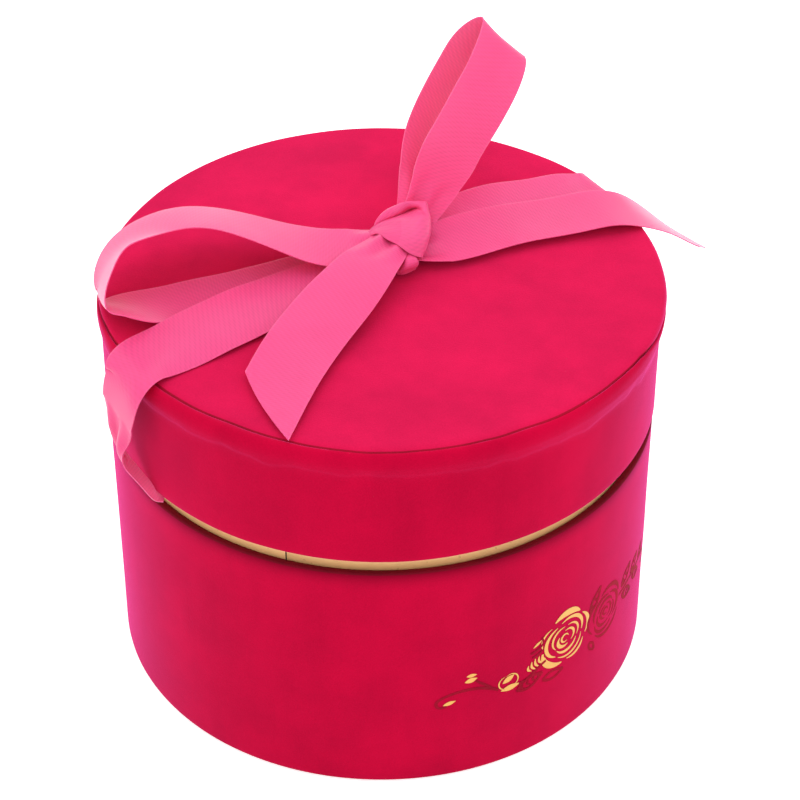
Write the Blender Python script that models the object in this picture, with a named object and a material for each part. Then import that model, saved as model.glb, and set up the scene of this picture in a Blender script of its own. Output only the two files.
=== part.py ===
"""Round velvet flower gift box with a gold neck and a tied satin bow.

The box stands on z = 0 with its axis on the origin and the bow's open loops facing -Y.
All lengths are metres. Run in Blender 4.5 to build one object for each piece.
"""

import math

import bmesh
import bpy
import numpy as np
from mathutils import Vector

MM = 0.001

# Driving sizes
BODY_RADIUS = 97.8 * MM
BOX_HEIGHT = 150.0 * MM
LID_HEIGHT = 45.7 * MM
GOLD_BAND_HEIGHT = 6.0 * MM
RIBBON_WIDTH = 25.0 * MM

# Thicknesses of the sheets and boards
BODY_BOARD = 2.0 * MM
LID_BOARD = 1.2 * MM
NECK_BOARD = 1.5 * MM
DISC_BOARD = 2.0 * MM
FOAM = 3.0 * MM
VELVET = 0.4 * MM
GOLD_CARD = 0.3 * MM
LINING = 0.3 * MM
RIBBON = 0.4 * MM

# Clearances
GLUE_GAP = 0.3 * MM
NECK_CLEARANCE = 1.0 * MM

# Facets round the box, and along and across a ribbon
AROUND = 60
STEPS_PER_STATION = 3
ACROSS = 4

# Radii, worked out from the body inwards and then out again through the lid
BODY_TUBE_OUTER = BODY_RADIUS - VELVET - GLUE_GAP
BODY_TUBE_INNER = BODY_TUBE_OUTER - BODY_BOARD
NECK_CARD_OUTER = BODY_TUBE_INNER - GLUE_GAP
NECK_TUBE_OUTER = NECK_CARD_OUTER - GOLD_CARD - GLUE_GAP
NECK_TUBE_INNER = NECK_TUBE_OUTER - NECK_BOARD
INNER_LINING_OUTER = NECK_TUBE_INNER - GLUE_GAP
LID_LINING_INNER = NECK_CARD_OUTER + NECK_CLEARANCE
LID_LINING_OUTER = LID_LINING_INNER + LINING
LID_TUBE_INNER = LID_LINING_OUTER + GLUE_GAP
LID_TUBE_OUTER = LID_TUBE_INNER + LID_BOARD
LID_RADIUS = LID_TUBE_OUTER + GLUE_GAP + VELVET

# Heights of the body, from the table up
FOOT_VELVET_BOTTOM = LINING + GLUE_GAP
BASE_BOTTOM = FOOT_VELVET_BOTTOM + VELVET + GLUE_GAP
BASE_TOP = BASE_BOTTOM + DISC_BOARD
BODY_TOP = BOX_HEIGHT - LID_HEIGHT - GOLD_BAND_HEIGHT

# Heights of the lid, from its top down
FOAM_TOP = BOX_HEIGHT - VELVET - GLUE_GAP
LID_DISC_TOP = FOAM_TOP - FOAM - GLUE_GAP
LID_DISC_BOTTOM = LID_DISC_TOP - DISC_BOARD
LID_TUBE_TOP = LID_DISC_BOTTOM - GLUE_GAP
LID_LINING_TOP = LID_DISC_BOTTOM - GLUE_GAP
NECK_TOP = LID_LINING_TOP - LINING - GLUE_GAP
LID_BOTTOM = BOX_HEIGHT - LID_HEIGHT
LID_TUBE_BOTTOM = LID_BOTTOM + VELVET + GLUE_GAP


def paint(name, colour, roughness, metallic=0.0):
    """Make the plain material of one piece."""
    material = bpy.data.materials.new(name)
    material.use_nodes = True
    shader = material.node_tree.nodes["Principled BSDF"]
    shader.inputs["Base Color"].default_value = (*colour, 1.0)
    shader.inputs["Roughness"].default_value = roughness
    shader.inputs["Metallic"].default_value = metallic
    return material


def add_object(name, bm, material):
    """Turn a bmesh into a named, smooth-shaded object."""
    mesh = bpy.data.meshes.new(name)
    bm.to_mesh(mesh)
    bm.free()
    mesh.shade_smooth()
    mesh.set_sharp_from_angle(angle=math.radians(30))
    mesh.materials.append(material)
    obj = bpy.data.objects.new(name, mesh)
    bpy.context.scene.collection.objects.link(obj)
    return obj


def thicken(obj, thickness, offset):
    """Give a sheet its thickness; offset -1 grows it inwards, 0 both ways."""
    solid = obj.modifiers.new("thickness", "SOLIDIFY")
    solid.thickness = thickness
    solid.offset = offset
    solid.use_even_offset = offset < 0


def lathe(name, section_at, material, closed=True):
    """Turn a section round the box's axis.

    section_at(azimuth) gives (radius, height) points that run down the outer side. A point
    of radius zero lies on the axis and becomes a single vertex.
    """
    bm = bmesh.new()
    rows = []
    for j, (radius, height) in enumerate(section_at(0.0)):
        if radius == 0.0:
            rows.append([bm.verts.new((0.0, 0.0, height))])
            continue
        row = []
        for i in range(AROUND):
            azimuth = math.tau * i / AROUND
            r, z = section_at(azimuth)[j]
            row.append(bm.verts.new((r * math.cos(azimuth), r * math.sin(azimuth), z)))
        rows.append(row)
    pairs = list(zip(rows, rows[1:]))
    if closed:
        pairs.append((rows[-1], rows[0]))
    for upper, lower in pairs:
        for i in range(AROUND):
            k = (i + 1) % AROUND
            if len(upper) == 1 and len(lower) == 1:
                break
            if len(upper) == 1:
                bm.faces.new((upper[0], lower[i], lower[k]))
            elif len(lower) == 1:
                bm.faces.new((upper[i], lower[0], upper[k]))
            else:
                bm.faces.new((upper[i], lower[i], lower[k], upper[k]))
    return add_object(name, bm, material)


def tube(name, outer, inner, bottom, top, material):
    """A plain board or paper tube."""
    section = [(outer, top), (outer, bottom), (inner, bottom), (inner, top)]
    return lathe(name, lambda azimuth: section, material)


def disc(name, radius, bottom, top, material):
    """A plain board or paper disc."""
    section = [(0.0, top), (radius, top), (radius, bottom), (0.0, bottom)]
    return lathe(name, lambda azimuth: section, material)


def rounded_corner(corner, before, after, radius, steps):
    """Points that round one corner of a section, from the side of before to that of after."""
    corner = np.array(corner)
    a = np.array(before) - corner
    b = np.array(after) - corner
    start = corner + a / np.linalg.norm(a) * radius
    end = corner + b / np.linalg.norm(b) * radius
    centre = start + end - corner
    points = []
    for k in range(steps + 1):
        turn = 0.5 * math.pi * k / steps
        p = centre + (start - centre) * math.cos(turn) + (end - centre) * math.sin(turn)
        points.append((float(p[0]), float(p[1])))
    return points


# Body

FOOT_TURN_IN = 11.8 * MM
FOOT_SHEET_MARGIN = 5.8 * MM
WRAP_CORNER = 0.8 * MM
CARD_TURN_IN = 12.0 * MM
CARD_CORNER = 0.7 * MM
CORNER_STEPS = 1


def build_body():
    """Board tube, base, velvet wrap and underside sheet."""
    board = paint("greyboard", (0.42, 0.38, 0.33), 0.9)
    velvet = paint("pink_velvet", (0.72, 0.012, 0.10), 0.85)
    paper = paint("white_paper", (0.86, 0.84, 0.82), 0.7)
    tube("body_board_tube", BODY_TUBE_OUTER, BODY_TUBE_INNER,
         BASE_BOTTOM, BODY_TOP - VELVET - GLUE_GAP, board)
    disc("body_base_board", BODY_TUBE_INNER - GLUE_GAP, BASE_BOTTOM, BASE_TOP, board)
    disc("base_underside_sheet", BODY_RADIUS - FOOT_SHEET_MARGIN, 0.0, LINING, paper)

    rim_inner = (BODY_TUBE_INNER, BODY_TOP)
    rim_outer = (BODY_RADIUS, BODY_TOP)
    foot_outer = (BODY_RADIUS, FOOT_VELVET_BOTTOM)
    foot_inner = (BODY_RADIUS - FOOT_TURN_IN, FOOT_VELVET_BOTTOM)
    wrap = [rim_inner]
    wrap += rounded_corner(rim_outer, rim_inner, foot_outer, WRAP_CORNER, CORNER_STEPS)
    wrap += rounded_corner(foot_outer, rim_outer, foot_inner, WRAP_CORNER, CORNER_STEPS)
    wrap.append(foot_inner)
    thicken(lathe("body_velvet_wrap", lambda azimuth: wrap, velvet, closed=False), VELVET, -1)


def build_neck():
    """Neck tube with its gold card, and the linings inside it."""
    board = paint("neck_greyboard", (0.42, 0.38, 0.33), 0.9)
    gold = paint("gold_card", (0.73, 0.46, 0.14), 0.3, 1.0)
    paper = paint("lining_paper", (0.86, 0.84, 0.82), 0.7)
    card_top = NECK_TOP
    tube_top = card_top - GOLD_CARD - GLUE_GAP
    tube("neck_board_tube", NECK_TUBE_OUTER, NECK_TUBE_INNER,
         BASE_TOP + GLUE_GAP, tube_top, board)

    card_inner_face = INNER_LINING_OUTER - GOLD_CARD
    inner_edge = (card_inner_face, card_top - CARD_TURN_IN)
    inner_rim = (card_inner_face, card_top)
    outer_rim = (NECK_CARD_OUTER, card_top)
    outer_edge = (NECK_CARD_OUTER, BASE_TOP + GLUE_GAP)
    card = [inner_edge]
    card += rounded_corner(inner_rim, inner_edge, outer_rim, CARD_CORNER, CORNER_STEPS)
    card += rounded_corner(outer_rim, inner_rim, outer_edge, CARD_CORNER, CORNER_STEPS)
    card.append(outer_edge)
    thicken(lathe("neck_gold_card", lambda azimuth: card, gold, closed=False), GOLD_CARD, -1)

    lining_top = card_top - CARD_TURN_IN - GLUE_GAP
    floor = BASE_TOP + GLUE_GAP
    lining_inner = INNER_LINING_OUTER - LINING
    tube("inner_wall_lining", INNER_LINING_OUTER, lining_inner, floor, lining_top, paper)
    disc("inner_base_lining", lining_inner - GLUE_GAP, floor, floor + LINING, paper)


# Lid

RIM_ROUNDING = 3.2 * MM
RIM_LEAST_BULGE = 0.6 * MM
RIM_PUFF = 1.1 * MM
RIM_LEAST_DEPTH = 4.2 * MM
RIM_PUFF_DEPTH = 1.6 * MM
RIM_ARC_STEPS = 3
SEAM_FLAT_REACH = 8.0 * MM
SEAM_HIGH = 3.9 * MM
SEAM_LOW = 16.4 * MM
SEAM_HIGH_AZIMUTH = math.radians(-120)
SEAM_SHARPNESS = 1.7
FLAP_DROP = 10.0 * MM
FLAP_SLANT = 3.0 * MM
FLAP_STEP = 1.5 * MM
SEAM_ROWS = 7
LID_EDGE_CORNER = 0.7 * MM


def seam_height_share(azimuth):
    """1 where the side velvet reaches highest, at the front left, and 0 opposite."""
    near = 0.5 + 0.5 * math.cos(azimuth - SEAM_HIGH_AZIMUTH)
    return near ** SEAM_SHARPNESS


def flap_bottom(azimuth):
    """Height of the lower edge of the top velvet, under the side velvet."""
    return BOX_HEIGHT - FLAP_DROP + FLAP_SLANT * math.cos(azimuth - SEAM_HIGH_AZIMUTH)


def rim_radius(azimuth):
    """Radius of the soft rim, which puffs out where the side velvet doesn't hold it."""
    return LID_RADIUS + RIM_LEAST_BULGE + RIM_PUFF * (1.0 - seam_height_share(azimuth))


def shoulder(azimuth):
    """The top velvet's outer face, from the flat top over the rim to the flap's lower edge."""
    bulge = rim_radius(azimuth)
    flat_edge = (LID_RADIUS - SEAM_FLAT_REACH, BOX_HEIGHT)
    corner = (bulge, BOX_HEIGHT)
    depth = RIM_LEAST_DEPTH + RIM_PUFF_DEPTH * (1.0 - seam_height_share(azimuth))
    below = (bulge, BOX_HEIGHT - depth)
    points = [flat_edge]
    points += rounded_corner(corner, flat_edge, below, RIM_ROUNDING, RIM_ARC_STEPS)
    points.append(below)
    points.append((LID_RADIUS, flap_bottom(azimuth) + FLAP_STEP))
    points.append((LID_RADIUS, flap_bottom(azimuth)))
    return points


def top_velvet_section(azimuth):
    """The whole outer face of the top velvet, from the middle of the lid."""
    return [(0.0, BOX_HEIGHT)] + shoulder(azimuth)


def point_along(points, length, lift):
    """The point at a length along a section, moved out along its normal by lift."""
    points = np.array(points)
    steps = np.linalg.norm(np.diff(points, axis=0), axis=1)
    lengths = np.concatenate(([0.0], np.cumsum(steps)))
    length = min(length, lengths[-1])
    k = min(int(np.searchsorted(lengths, length, side="right")) - 1, len(steps) - 1)
    direction = (points[k + 1] - points[k]) / steps[k]
    place = points[k] + direction * (length - lengths[k])
    normal = np.array((-direction[1], direction[0]))
    place = place + normal * lift
    return float(place[0]), float(place[1])


def side_velvet_section(azimuth):
    """The side velvet's outer face, from its seam down to its turned-in lower edge."""
    face = shoulder(azimuth)
    lift = GLUE_GAP + VELVET
    face_length = float(np.sum(np.linalg.norm(np.diff(np.array(face), axis=0), axis=1)))
    seam = SEAM_LOW + (SEAM_HIGH - SEAM_LOW) * seam_height_share(azimuth)
    points = []
    for k in range(SEAM_ROWS + 1):
        points.append(point_along(face, seam + (face_length - seam) * k / SEAM_ROWS, lift))
    step_bottom = (LID_RADIUS, flap_bottom(azimuth) - FLAP_STEP)
    edge_outer = (LID_RADIUS, LID_BOTTOM)
    edge_inner = (LID_TUBE_INNER, LID_BOTTOM)
    points.append(step_bottom)
    points += rounded_corner(edge_outer, step_bottom, edge_inner, LID_EDGE_CORNER, CORNER_STEPS)
    points.append(edge_inner)
    return points


def foam_section(azimuth):
    """A thin pad with a rounded upper edge that fills the soft rim."""
    radius = rim_radius(azimuth) - VELVET - GLUE_GAP
    bottom = FOAM_TOP - FOAM
    points = [(0.0, FOAM_TOP)]
    points += rounded_corner((radius, FOAM_TOP), (0.0, FOAM_TOP), (radius, bottom),
                             RIM_ROUNDING - VELVET - GLUE_GAP, RIM_ARC_STEPS)
    points += [(radius, bottom), (0.0, bottom)]
    return points


def build_lid():
    """Board wall and top, padding, both velvets and the linings."""
    board = paint("lid_greyboard", (0.42, 0.38, 0.33), 0.9)
    foam = paint("white_foam", (0.8, 0.8, 0.78), 0.95)
    velvet = paint("lid_pink_velvet", (0.80, 0.014, 0.12), 0.85)
    paper = paint("lid_lining_paper", (0.86, 0.84, 0.82), 0.7)
    tube("lid_wall_board", LID_TUBE_OUTER, LID_TUBE_INNER, LID_TUBE_BOTTOM, LID_TUBE_TOP, board)
    disc("lid_top_board", LID_TUBE_OUTER, LID_DISC_BOTTOM, LID_DISC_TOP, board)
    lathe("lid_foam_pad", foam_section, foam)
    tube("lid_wall_lining", LID_LINING_OUTER, LID_LINING_INNER,
         LID_TUBE_BOTTOM, LID_LINING_TOP, paper)
    disc("lid_top_lining", LID_LINING_INNER - GLUE_GAP,
         LID_LINING_TOP - LINING, LID_LINING_TOP, paper)
    thicken(lathe("lid_top_velvet", top_velvet_section, velvet, closed=False), VELVET, -1)
    thicken(lathe("lid_side_velvet", side_velvet_section, velvet, closed=False), VELVET, -1)


# Ribbon

TUCK_BEND = 0.6 * MM
TUCK_TAB = 13.0 * MM
PLEATS = 2
PLEAT_DEPTH_SHARE = 0.45
HALVINGS = 12

# Each route lists x, y and height of the ribbon's middle, then how far it is spread.
# x and y are shares of the lid's radius. A height above 0 is a share of that radius, measured
# from the lid's top to the ribbon's lower edge; one below 0 is a share of the lid's height.
# Each turn list gives the heading and tilt, in degrees, of the ribbon's width there.

LOOP_UPPER_SHARES = [
    (0.075, 0.215, 0.070, 0.50), (0.125, 0.325, 0.095, 0.66), (0.155, 0.450, 0.124, 0.93),
    (0.208, 0.595, 0.203, 1.00), (0.290, 0.725, 0.300, 1.00), (0.369, 0.793, 0.384, 1.00),
    (0.438, 0.785, 0.430, 1.00), (0.424, 0.670, 0.385, 1.00), (0.355, 0.550, 0.300, 1.00),
    (0.235, 0.387, 0.166, 1.00), (0.138, 0.270, 0.104, 0.62), (0.085, 0.180, 0.080, 0.50)]
LOOP_UPPER_TURNS = [
    (0, -20), (10, -38), (18, -48), (21, -51), (21, -51), (20, -50), (18, -48), (15, -45),
    (15, -45), (15, -46), (5, -38), (0, -20)]

LOOP_LEFT_SHARES = [
    (0.030, 0.135, 0.066, 0.60), (-0.150, 0.093, 0.064, 0.90), (-0.290, 0.094, 0.078, 1.00),
    (-0.443, 0.093, 0.124, 1.00), (-0.600, 0.092, 0.163, 1.00), (-0.740, 0.072, 0.166, 1.00),
    (-0.858, -0.005, 0.152, 1.00), (-0.928, -0.110, 0.127, 1.00), (-0.955, -0.205, 0.093, 1.00),
    (-0.962, -0.240, 0.053, 1.00), (-0.955, -0.250, 0.020, 1.00), (-0.920, -0.248, 0.012, 1.00),
    (-0.863, -0.226, 0.014, 0.96), (-0.760, -0.157, 0.011, 0.88), (-0.660, -0.113, 0.009, 0.92),
    (-0.540, -0.100, 0.010, 1.00), (-0.304, -0.005, 0.010, 0.99), (-0.010, 0.115, 0.013, 0.95)]
LOOP_LEFT_TURNS = [
    (95, 4), (97, 2), (93, -7), (95, -12), (97, -16), (101, -17), (104, -20), (102, -23),
    (104, -28), (103, -30), (100, -29), (96, -24), (92, -15), (94, -3), (98, 0), (103, 0),
    (108, 0), (114, 0)]

BAND_LEFT_SHARES = [
    (0.040, 0.130, 0.030, 0.75), (-0.140, -0.020, 0.024, 0.90), (-0.340, -0.150, 0.021, 0.97),
    (-0.491, -0.266, 0.022, 1.00), (-0.632, -0.376, 0.019, 1.00), (-0.748, -0.457, 0.016, 1.00),
    (-0.818, -0.516, 0.014, 1.00), (-0.865, -0.578, -0.035, 1.00), (-0.888, -0.590, -0.175, 0.95),
    (-0.903, -0.590, -0.340, 0.75), (-0.912, -0.575, -0.547, 0.52), (-0.893, -0.575, -0.744, 0.42),
    (-0.850, -0.590, -0.880, 0.36)]
BAND_LEFT_TURNS = [
    (135, 4), (130, 4), (124, 4), (122, 6), (123, 6), (124, 2), (125, -2), (124, -10),
    (124, -19), (124, -23), (120, -30), (122, -36), (128, -20)]
BAND_LEFT_TUCK_AZIMUTH = math.radians(-142.5)
BAND_LEFT_TUCK_SPREAD_SHARE = 0.34

BAND_RIGHT_SHARES = [
    (0.070, 0.170, 0.026, 0.70), (0.180, 0.250, 0.022, 0.90), (0.300, 0.330, 0.018, 1.00),
    (0.430, 0.413, 0.012, 1.00), (0.590, 0.485, 0.010, 1.00), (0.720, 0.535, 0.010, 1.00),
    (0.790, 0.562, 0.012, 1.00), (0.822, 0.577, 0.004, 1.00), (0.843, 0.591, -0.060, 1.00),
    (0.843, 0.591, -0.200, 1.00), (0.835, 0.585, -0.500, 1.00), (0.826, 0.579, -0.850, 1.00)]
BAND_RIGHT_TURNS = [(118, 10), (118, 10), (118, 8), (118, 8), (118, 4), (121, 2), (124, 0), (125, 0),
                    (125, 0), (125, 0), (125, 0), (125, 0)]
BAND_RIGHT_TUCK_AZIMUTH = math.radians(35.0)
BAND_RIGHT_TUCK_SPREAD_SHARE = 1.0

TAIL_FRONT_SHARES = [
    (0.055, 0.140, 0.090, 0.55), (-0.020, 0.000, 0.090, 0.80), (-0.100, -0.150, 0.071, 0.95),
    (-0.190, -0.310, 0.047, 1.00), (-0.265, -0.460, 0.035, 1.00), (-0.318, -0.590, 0.028, 1.00),
    (-0.369, -0.740, 0.022, 1.00), (-0.418, -0.901, 0.018, 1.00)]
TAIL_FRONT_TURNS = [(152, 0), (152, 2), (152, 6), (154, 8), (157, 7), (159, 4), (160, 0), (161, 0)]
TAIL_FRONT_CUT_SHARE = 1.1

TAIL_RIGHT_SHARES = [
    (0.085, 0.120, 0.040, 0.60), (0.217, 0.164, 0.032, 0.80), (0.391, 0.258, 0.030, 0.92),
    (0.569, 0.333, 0.030, 0.94), (0.703, 0.378, 0.029, 0.95), (0.841, 0.415, 0.030, 0.97),
    (0.935, 0.447, 0.006, 1.00), (1.026, 0.485, -0.160, 1.00), (1.127, 0.512, -0.361, 1.00),
    (1.254, 0.502, -0.519, 1.00)]
TAIL_RIGHT_TURNS = [(112, 6), (114, 8), (111, 4), (109, 0), (109, 0), (107, 0), (107, -4), (107, -13),
                    (103, -22), (98, -28)]
TAIL_RIGHT_CUT_SHARE = -0.52


def width_direction(heading, tilt):
    """Unit vector along the ribbon's width, from its heading and tilt in degrees."""
    heading = math.radians(heading)
    tilt = math.radians(tilt)
    return (math.cos(tilt) * math.cos(heading), math.cos(tilt) * math.sin(heading), math.sin(tilt))


def stations(shares, turns):
    """Turn a route of shares into rows of x, y, z, width direction, spread and hug."""
    rows = []
    for (x, y, height, spread), (heading, tilt) in zip(shares, turns):
        half_rise = 0.5 * RIBBON_WIDTH * spread * abs(math.sin(math.radians(tilt)))
        z = BOX_HEIGHT + height * LID_HEIGHT
        if height > 0.0:
            z = BOX_HEIGHT + height * LID_RADIUS + half_rise
        across = width_direction(heading, tilt)
        rows.append((x * LID_RADIUS, y * LID_RADIUS, z, *across, spread, 0.0))
    return rows


def pleat_height(spread):
    """How far the pleats stand to each side of the middle of a ribbon gathered to a share."""
    return 0.25 * PLEAT_DEPTH_SHARE * RIBBON_WIDTH / PLEATS * math.sqrt(1.0 - spread ** 2)


def tuck(azimuth, spread, tab):
    """Corners of a band's way in under the lid's lower edge, and up inside if it has a tab."""
    room = GLUE_GAP + 0.5 * RIBBON + pleat_height(spread)
    outside = LID_RADIUS + room
    under = LID_BOTTOM - room
    inside = 0.5 * (NECK_CARD_OUTER + LID_LINING_INNER)
    across = width_direction(math.degrees(azimuth) + 90.0, 0.0)
    path = [(outside, under + 5.0 * TUCK_BEND), (outside, under + TUCK_BEND),
            (outside - TUCK_BEND, under), (inside + TUCK_BEND, under)]
    if tab:
        path += [(inside, under + TUCK_BEND), (inside, under + TUCK_TAB)]
    rows = []
    for radius, z in path:
        rows.append((radius * math.cos(azimuth), radius * math.sin(azimuth), z, *across, spread, 1.0))
    return rows


def smooth_rows(rows):
    """Points of a natural cubic spline through the rows."""
    rows = np.array(rows)
    spans = np.linalg.norm(np.diff(rows[:, :3], axis=0), axis=1)
    count = len(rows)
    matrix = np.eye(count)
    right = np.zeros_like(rows)
    for i in range(1, count - 1):
        matrix[i, i - 1:i + 2] = spans[i - 1], 2.0 * (spans[i - 1] + spans[i]), spans[i]
        slope_after = (rows[i + 1] - rows[i]) / spans[i]
        slope_before = (rows[i] - rows[i - 1]) / spans[i - 1]
        right[i] = 6.0 * (slope_after - slope_before)
    bends = np.linalg.solve(matrix, right)
    points = []
    for i, span in enumerate(spans):
        for k in range(STEPS_PER_STATION):
            b = k / STEPS_PER_STATION
            a = 1.0 - b
            curve = (a ** 3 - a) * bends[i] + (b ** 3 - b) * bends[i + 1]
            points.append(a * rows[i] + b * rows[i + 1] + curve * span ** 2 / 6.0)
    points.append(rows[-1])
    return points


def ribbon_sheet(rows, corners, cut_share, outward):
    """Lay a strip of ribbon smoothly along the rows, then round the corners of its tuck.

    Returns the grid of points. cut_share slants the last end: one edge ends that many widths
    before the other.
    """
    points = np.array(smooth_rows(rows) + corners)
    outward = np.array((*outward, 0.0))
    tangents = np.gradient(points[:, :3], axis=0)
    steps = np.linalg.norm(np.diff(points[:, :3], axis=0), axis=1)
    lengths = np.concatenate(([0.0], np.cumsum(steps)))
    grid = []
    for p, tangent in zip(points, tangents):
        tangent = tangent / np.linalg.norm(tangent)
        side = p[3:6] - np.dot(p[3:6], tangent) * tangent
        side = side / np.linalg.norm(side)
        normal = np.cross(side, tangent)
        spread = min(p[6], 1.0)
        row = []
        for k in range(ACROSS + 1):
            u = 2.0 * k / ACROSS - 1.0
            offset = 0.5 * RIBBON_WIDTH * spread * u
            wave = pleat_height(spread) * math.cos(math.pi * PLEATS * u)
            sagitta = LID_RADIUS - math.sqrt(LID_RADIUS ** 2 - offset ** 2)
            row.append(p[:3] + side * offset - normal * wave - outward * sagitta * p[7])
        grid.append(row)
    return trim_ends(np.array(grid), lengths, cut_share)


def trim_ends(grid, lengths, cut_share):
    """Start and end each thread of the ribbon at the knot, or at the slanting cut."""
    out = np.empty_like(grid)
    for k in range(ACROSS + 1):
        u = 2.0 * k / ACROSS - 1.0
        thread = grid[:, k]
        first = knot_exit(thread, lengths)
        last = lengths[-1] - knot_exit(thread[::-1], lengths[-1] - lengths[::-1])
        last -= 0.5 * RIBBON_WIDTH * (abs(cut_share) + cut_share * u)
        middle = 0.5 * lengths[-1]
        wanted = np.interp(lengths, (0.0, middle, lengths[-1]), (first, middle, last))
        for axis in range(3):
            out[:, k, axis] = np.interp(wanted, lengths, grid[:, k, axis])
    return out


def knot_exit(thread, lengths):
    """Length at which a thread that starts inside the knot comes out of it for good."""
    inside = [i for i in range(len(thread) // 2) if knot_reach(thread[i]) < 1.0]
    if not inside:
        return lengths[0]
    near = lengths[inside[-1]]
    far = lengths[inside[-1] + 1]
    for _ in range(HALVINGS):
        middle = 0.5 * (near + far)
        place = [np.interp(middle, lengths, thread[:, axis]) for axis in range(3)]
        if knot_reach(place) < 1.0:
            near = middle
        else:
            far = middle
    return far


def build_strip(name, material, rows, corners=(), cut_share=0.0, outward=(0.0, 0.0)):
    """Make one strip of ribbon as a thin solid."""
    grid = ribbon_sheet(rows, list(corners), cut_share, outward)
    bm = bmesh.new()
    verts = [[bm.verts.new(p) for p in row] for row in grid]
    for i in range(len(verts) - 1):
        for k in range(ACROSS):
            bm.faces.new((verts[i][k], verts[i + 1][k], verts[i + 1][k + 1], verts[i][k + 1]))
    obj = add_object(name, bm, material)
    thicken(obj, RIBBON, 0)
    return obj


# Knot

KNOT_CENTRE_SHARES = (0.062, 0.175)
KNOT_HALF_LENGTH = 11.0 * MM
KNOT_HALF_WIDTH = 8.5 * MM
KNOT_HALF_HEIGHT = 5.8 * MM
KNOT_HEADING = math.radians(-50)
KNOT_RIDGES = 5
KNOT_RIDGE_SHARE = 0.05
KNOT_SQUARENESS = 0.75
KNOT_MARGIN = 0.9 * MM
KNOT_TURNS = 24
KNOT_RINGS = 12
KNOT_CENTRE = Vector((KNOT_CENTRE_SHARES[0] * LID_RADIUS, KNOT_CENTRE_SHARES[1] * LID_RADIUS,
                      BOX_HEIGHT + GLUE_GAP + KNOT_HALF_HEIGHT * (1.0 + KNOT_RIDGE_SHARE)))
KNOT_LONG_AXIS = Vector((math.cos(KNOT_HEADING), math.sin(KNOT_HEADING), 0.0))
KNOT_CROSS_AXIS = Vector((-math.sin(KNOT_HEADING), math.cos(KNOT_HEADING), 0.0))


def rounded(value):
    """Square off a sine or cosine a little."""
    return math.copysign(abs(value) ** KNOT_SQUARENESS, value)


def knot_point(along, turn):
    """A point of the knot's skin, with ridges where the wrap is gathered."""
    ridge = 1.0 + KNOT_RIDGE_SHARE * math.cos(2 * KNOT_RIDGES * along)
    ring = rounded(math.cos(along)) * ridge
    return (KNOT_CENTRE + KNOT_LONG_AXIS * KNOT_HALF_LENGTH * rounded(math.sin(along))
            + KNOT_CROSS_AXIS * KNOT_HALF_WIDTH * ring * rounded(math.cos(turn))
            + Vector((0.0, 0.0, KNOT_HALF_HEIGHT * ring * rounded(math.sin(turn)))))


def knot_reach(point):
    """Below 1 inside the knot and its clearance, above 1 outside."""
    ridge = 1.0 + KNOT_RIDGE_SHARE
    local = Vector(point) - KNOT_CENTRE
    power = 2.0 / KNOT_SQUARENESS
    long = abs(local.dot(KNOT_LONG_AXIS)) / (KNOT_HALF_LENGTH + KNOT_MARGIN)
    cross = abs(local.dot(KNOT_CROSS_AXIS)) / (KNOT_HALF_WIDTH * ridge + KNOT_MARGIN)
    high = abs(local.z) / (KNOT_HALF_HEIGHT * ridge + KNOT_MARGIN)
    return long ** power + cross ** power + high ** power


def build_knot(material):
    """Rounded lump of wrapped ribbon."""
    bm = bmesh.new()
    first = bm.verts.new(knot_point(-0.5 * math.pi, 0.0))
    last = bm.verts.new(knot_point(0.5 * math.pi, 0.0))
    rings = []
    for j in range(1, KNOT_RINGS):
        along = math.pi * (j / KNOT_RINGS - 0.5)
        ring = [knot_point(along, math.tau * i / KNOT_TURNS) for i in range(KNOT_TURNS)]
        rings.append([bm.verts.new(point) for point in ring])
    for i in range(KNOT_TURNS):
        k = (i + 1) % KNOT_TURNS
        bm.faces.new((first, rings[0][k], rings[0][i]))
        bm.faces.new((last, rings[-1][i], rings[-1][k]))
        for lower, upper in zip(rings, rings[1:]):
            bm.faces.new((lower[i], lower[k], upper[k], upper[i]))
    bmesh.ops.recalc_face_normals(bm, faces=bm.faces)
    add_object("ribbon_knot", bm, material)


def outward_of(azimuth):
    """Horizontal unit vector away from the box's axis."""
    return math.cos(azimuth), math.sin(azimuth)


def build_ribbon():
    """Two bands, two loops, two tails and the knot."""
    satin = paint("pink_satin", (0.95, 0.13, 0.35), 0.35)
    build_knot(satin)
    left_tuck = tuck(BAND_LEFT_TUCK_AZIMUTH, BAND_LEFT_TUCK_SPREAD_SHARE, tab=False)
    right_tuck = tuck(BAND_RIGHT_TUCK_AZIMUTH, BAND_RIGHT_TUCK_SPREAD_SHARE, tab=True)
    build_strip("ribbon_band_left", satin, stations(BAND_LEFT_SHARES, BAND_LEFT_TURNS),
                left_tuck, outward=outward_of(BAND_LEFT_TUCK_AZIMUTH))
    build_strip("ribbon_band_right", satin, stations(BAND_RIGHT_SHARES, BAND_RIGHT_TURNS),
                right_tuck, outward=outward_of(BAND_RIGHT_TUCK_AZIMUTH))
    build_strip("ribbon_loop_upper", satin, stations(LOOP_UPPER_SHARES, LOOP_UPPER_TURNS))
    build_strip("ribbon_loop_left", satin, stations(LOOP_LEFT_SHARES, LOOP_LEFT_TURNS))
    build_strip("ribbon_tail_front", satin, stations(TAIL_FRONT_SHARES, TAIL_FRONT_TURNS),
                cut_share=TAIL_FRONT_CUT_SHARE)
    build_strip("ribbon_tail_right", satin, stations(TAIL_RIGHT_SHARES, TAIL_RIGHT_TURNS),
                cut_share=TAIL_RIGHT_CUT_SHARE)


def main():
    for obj in list(bpy.data.objects):
        bpy.data.objects.remove(obj, do_unlink=True)
    build_body()
    build_neck()
    build_lid()
    build_ribbon()


main()
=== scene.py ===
"""Dresses the round velvet flower box: velvet, gold card, paper linings and a satin bow.

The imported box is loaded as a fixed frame. Every piece made here takes its place from that
frame. Lengths are metres, +Z is up and the box stands on the origin.
"""

import math

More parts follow.
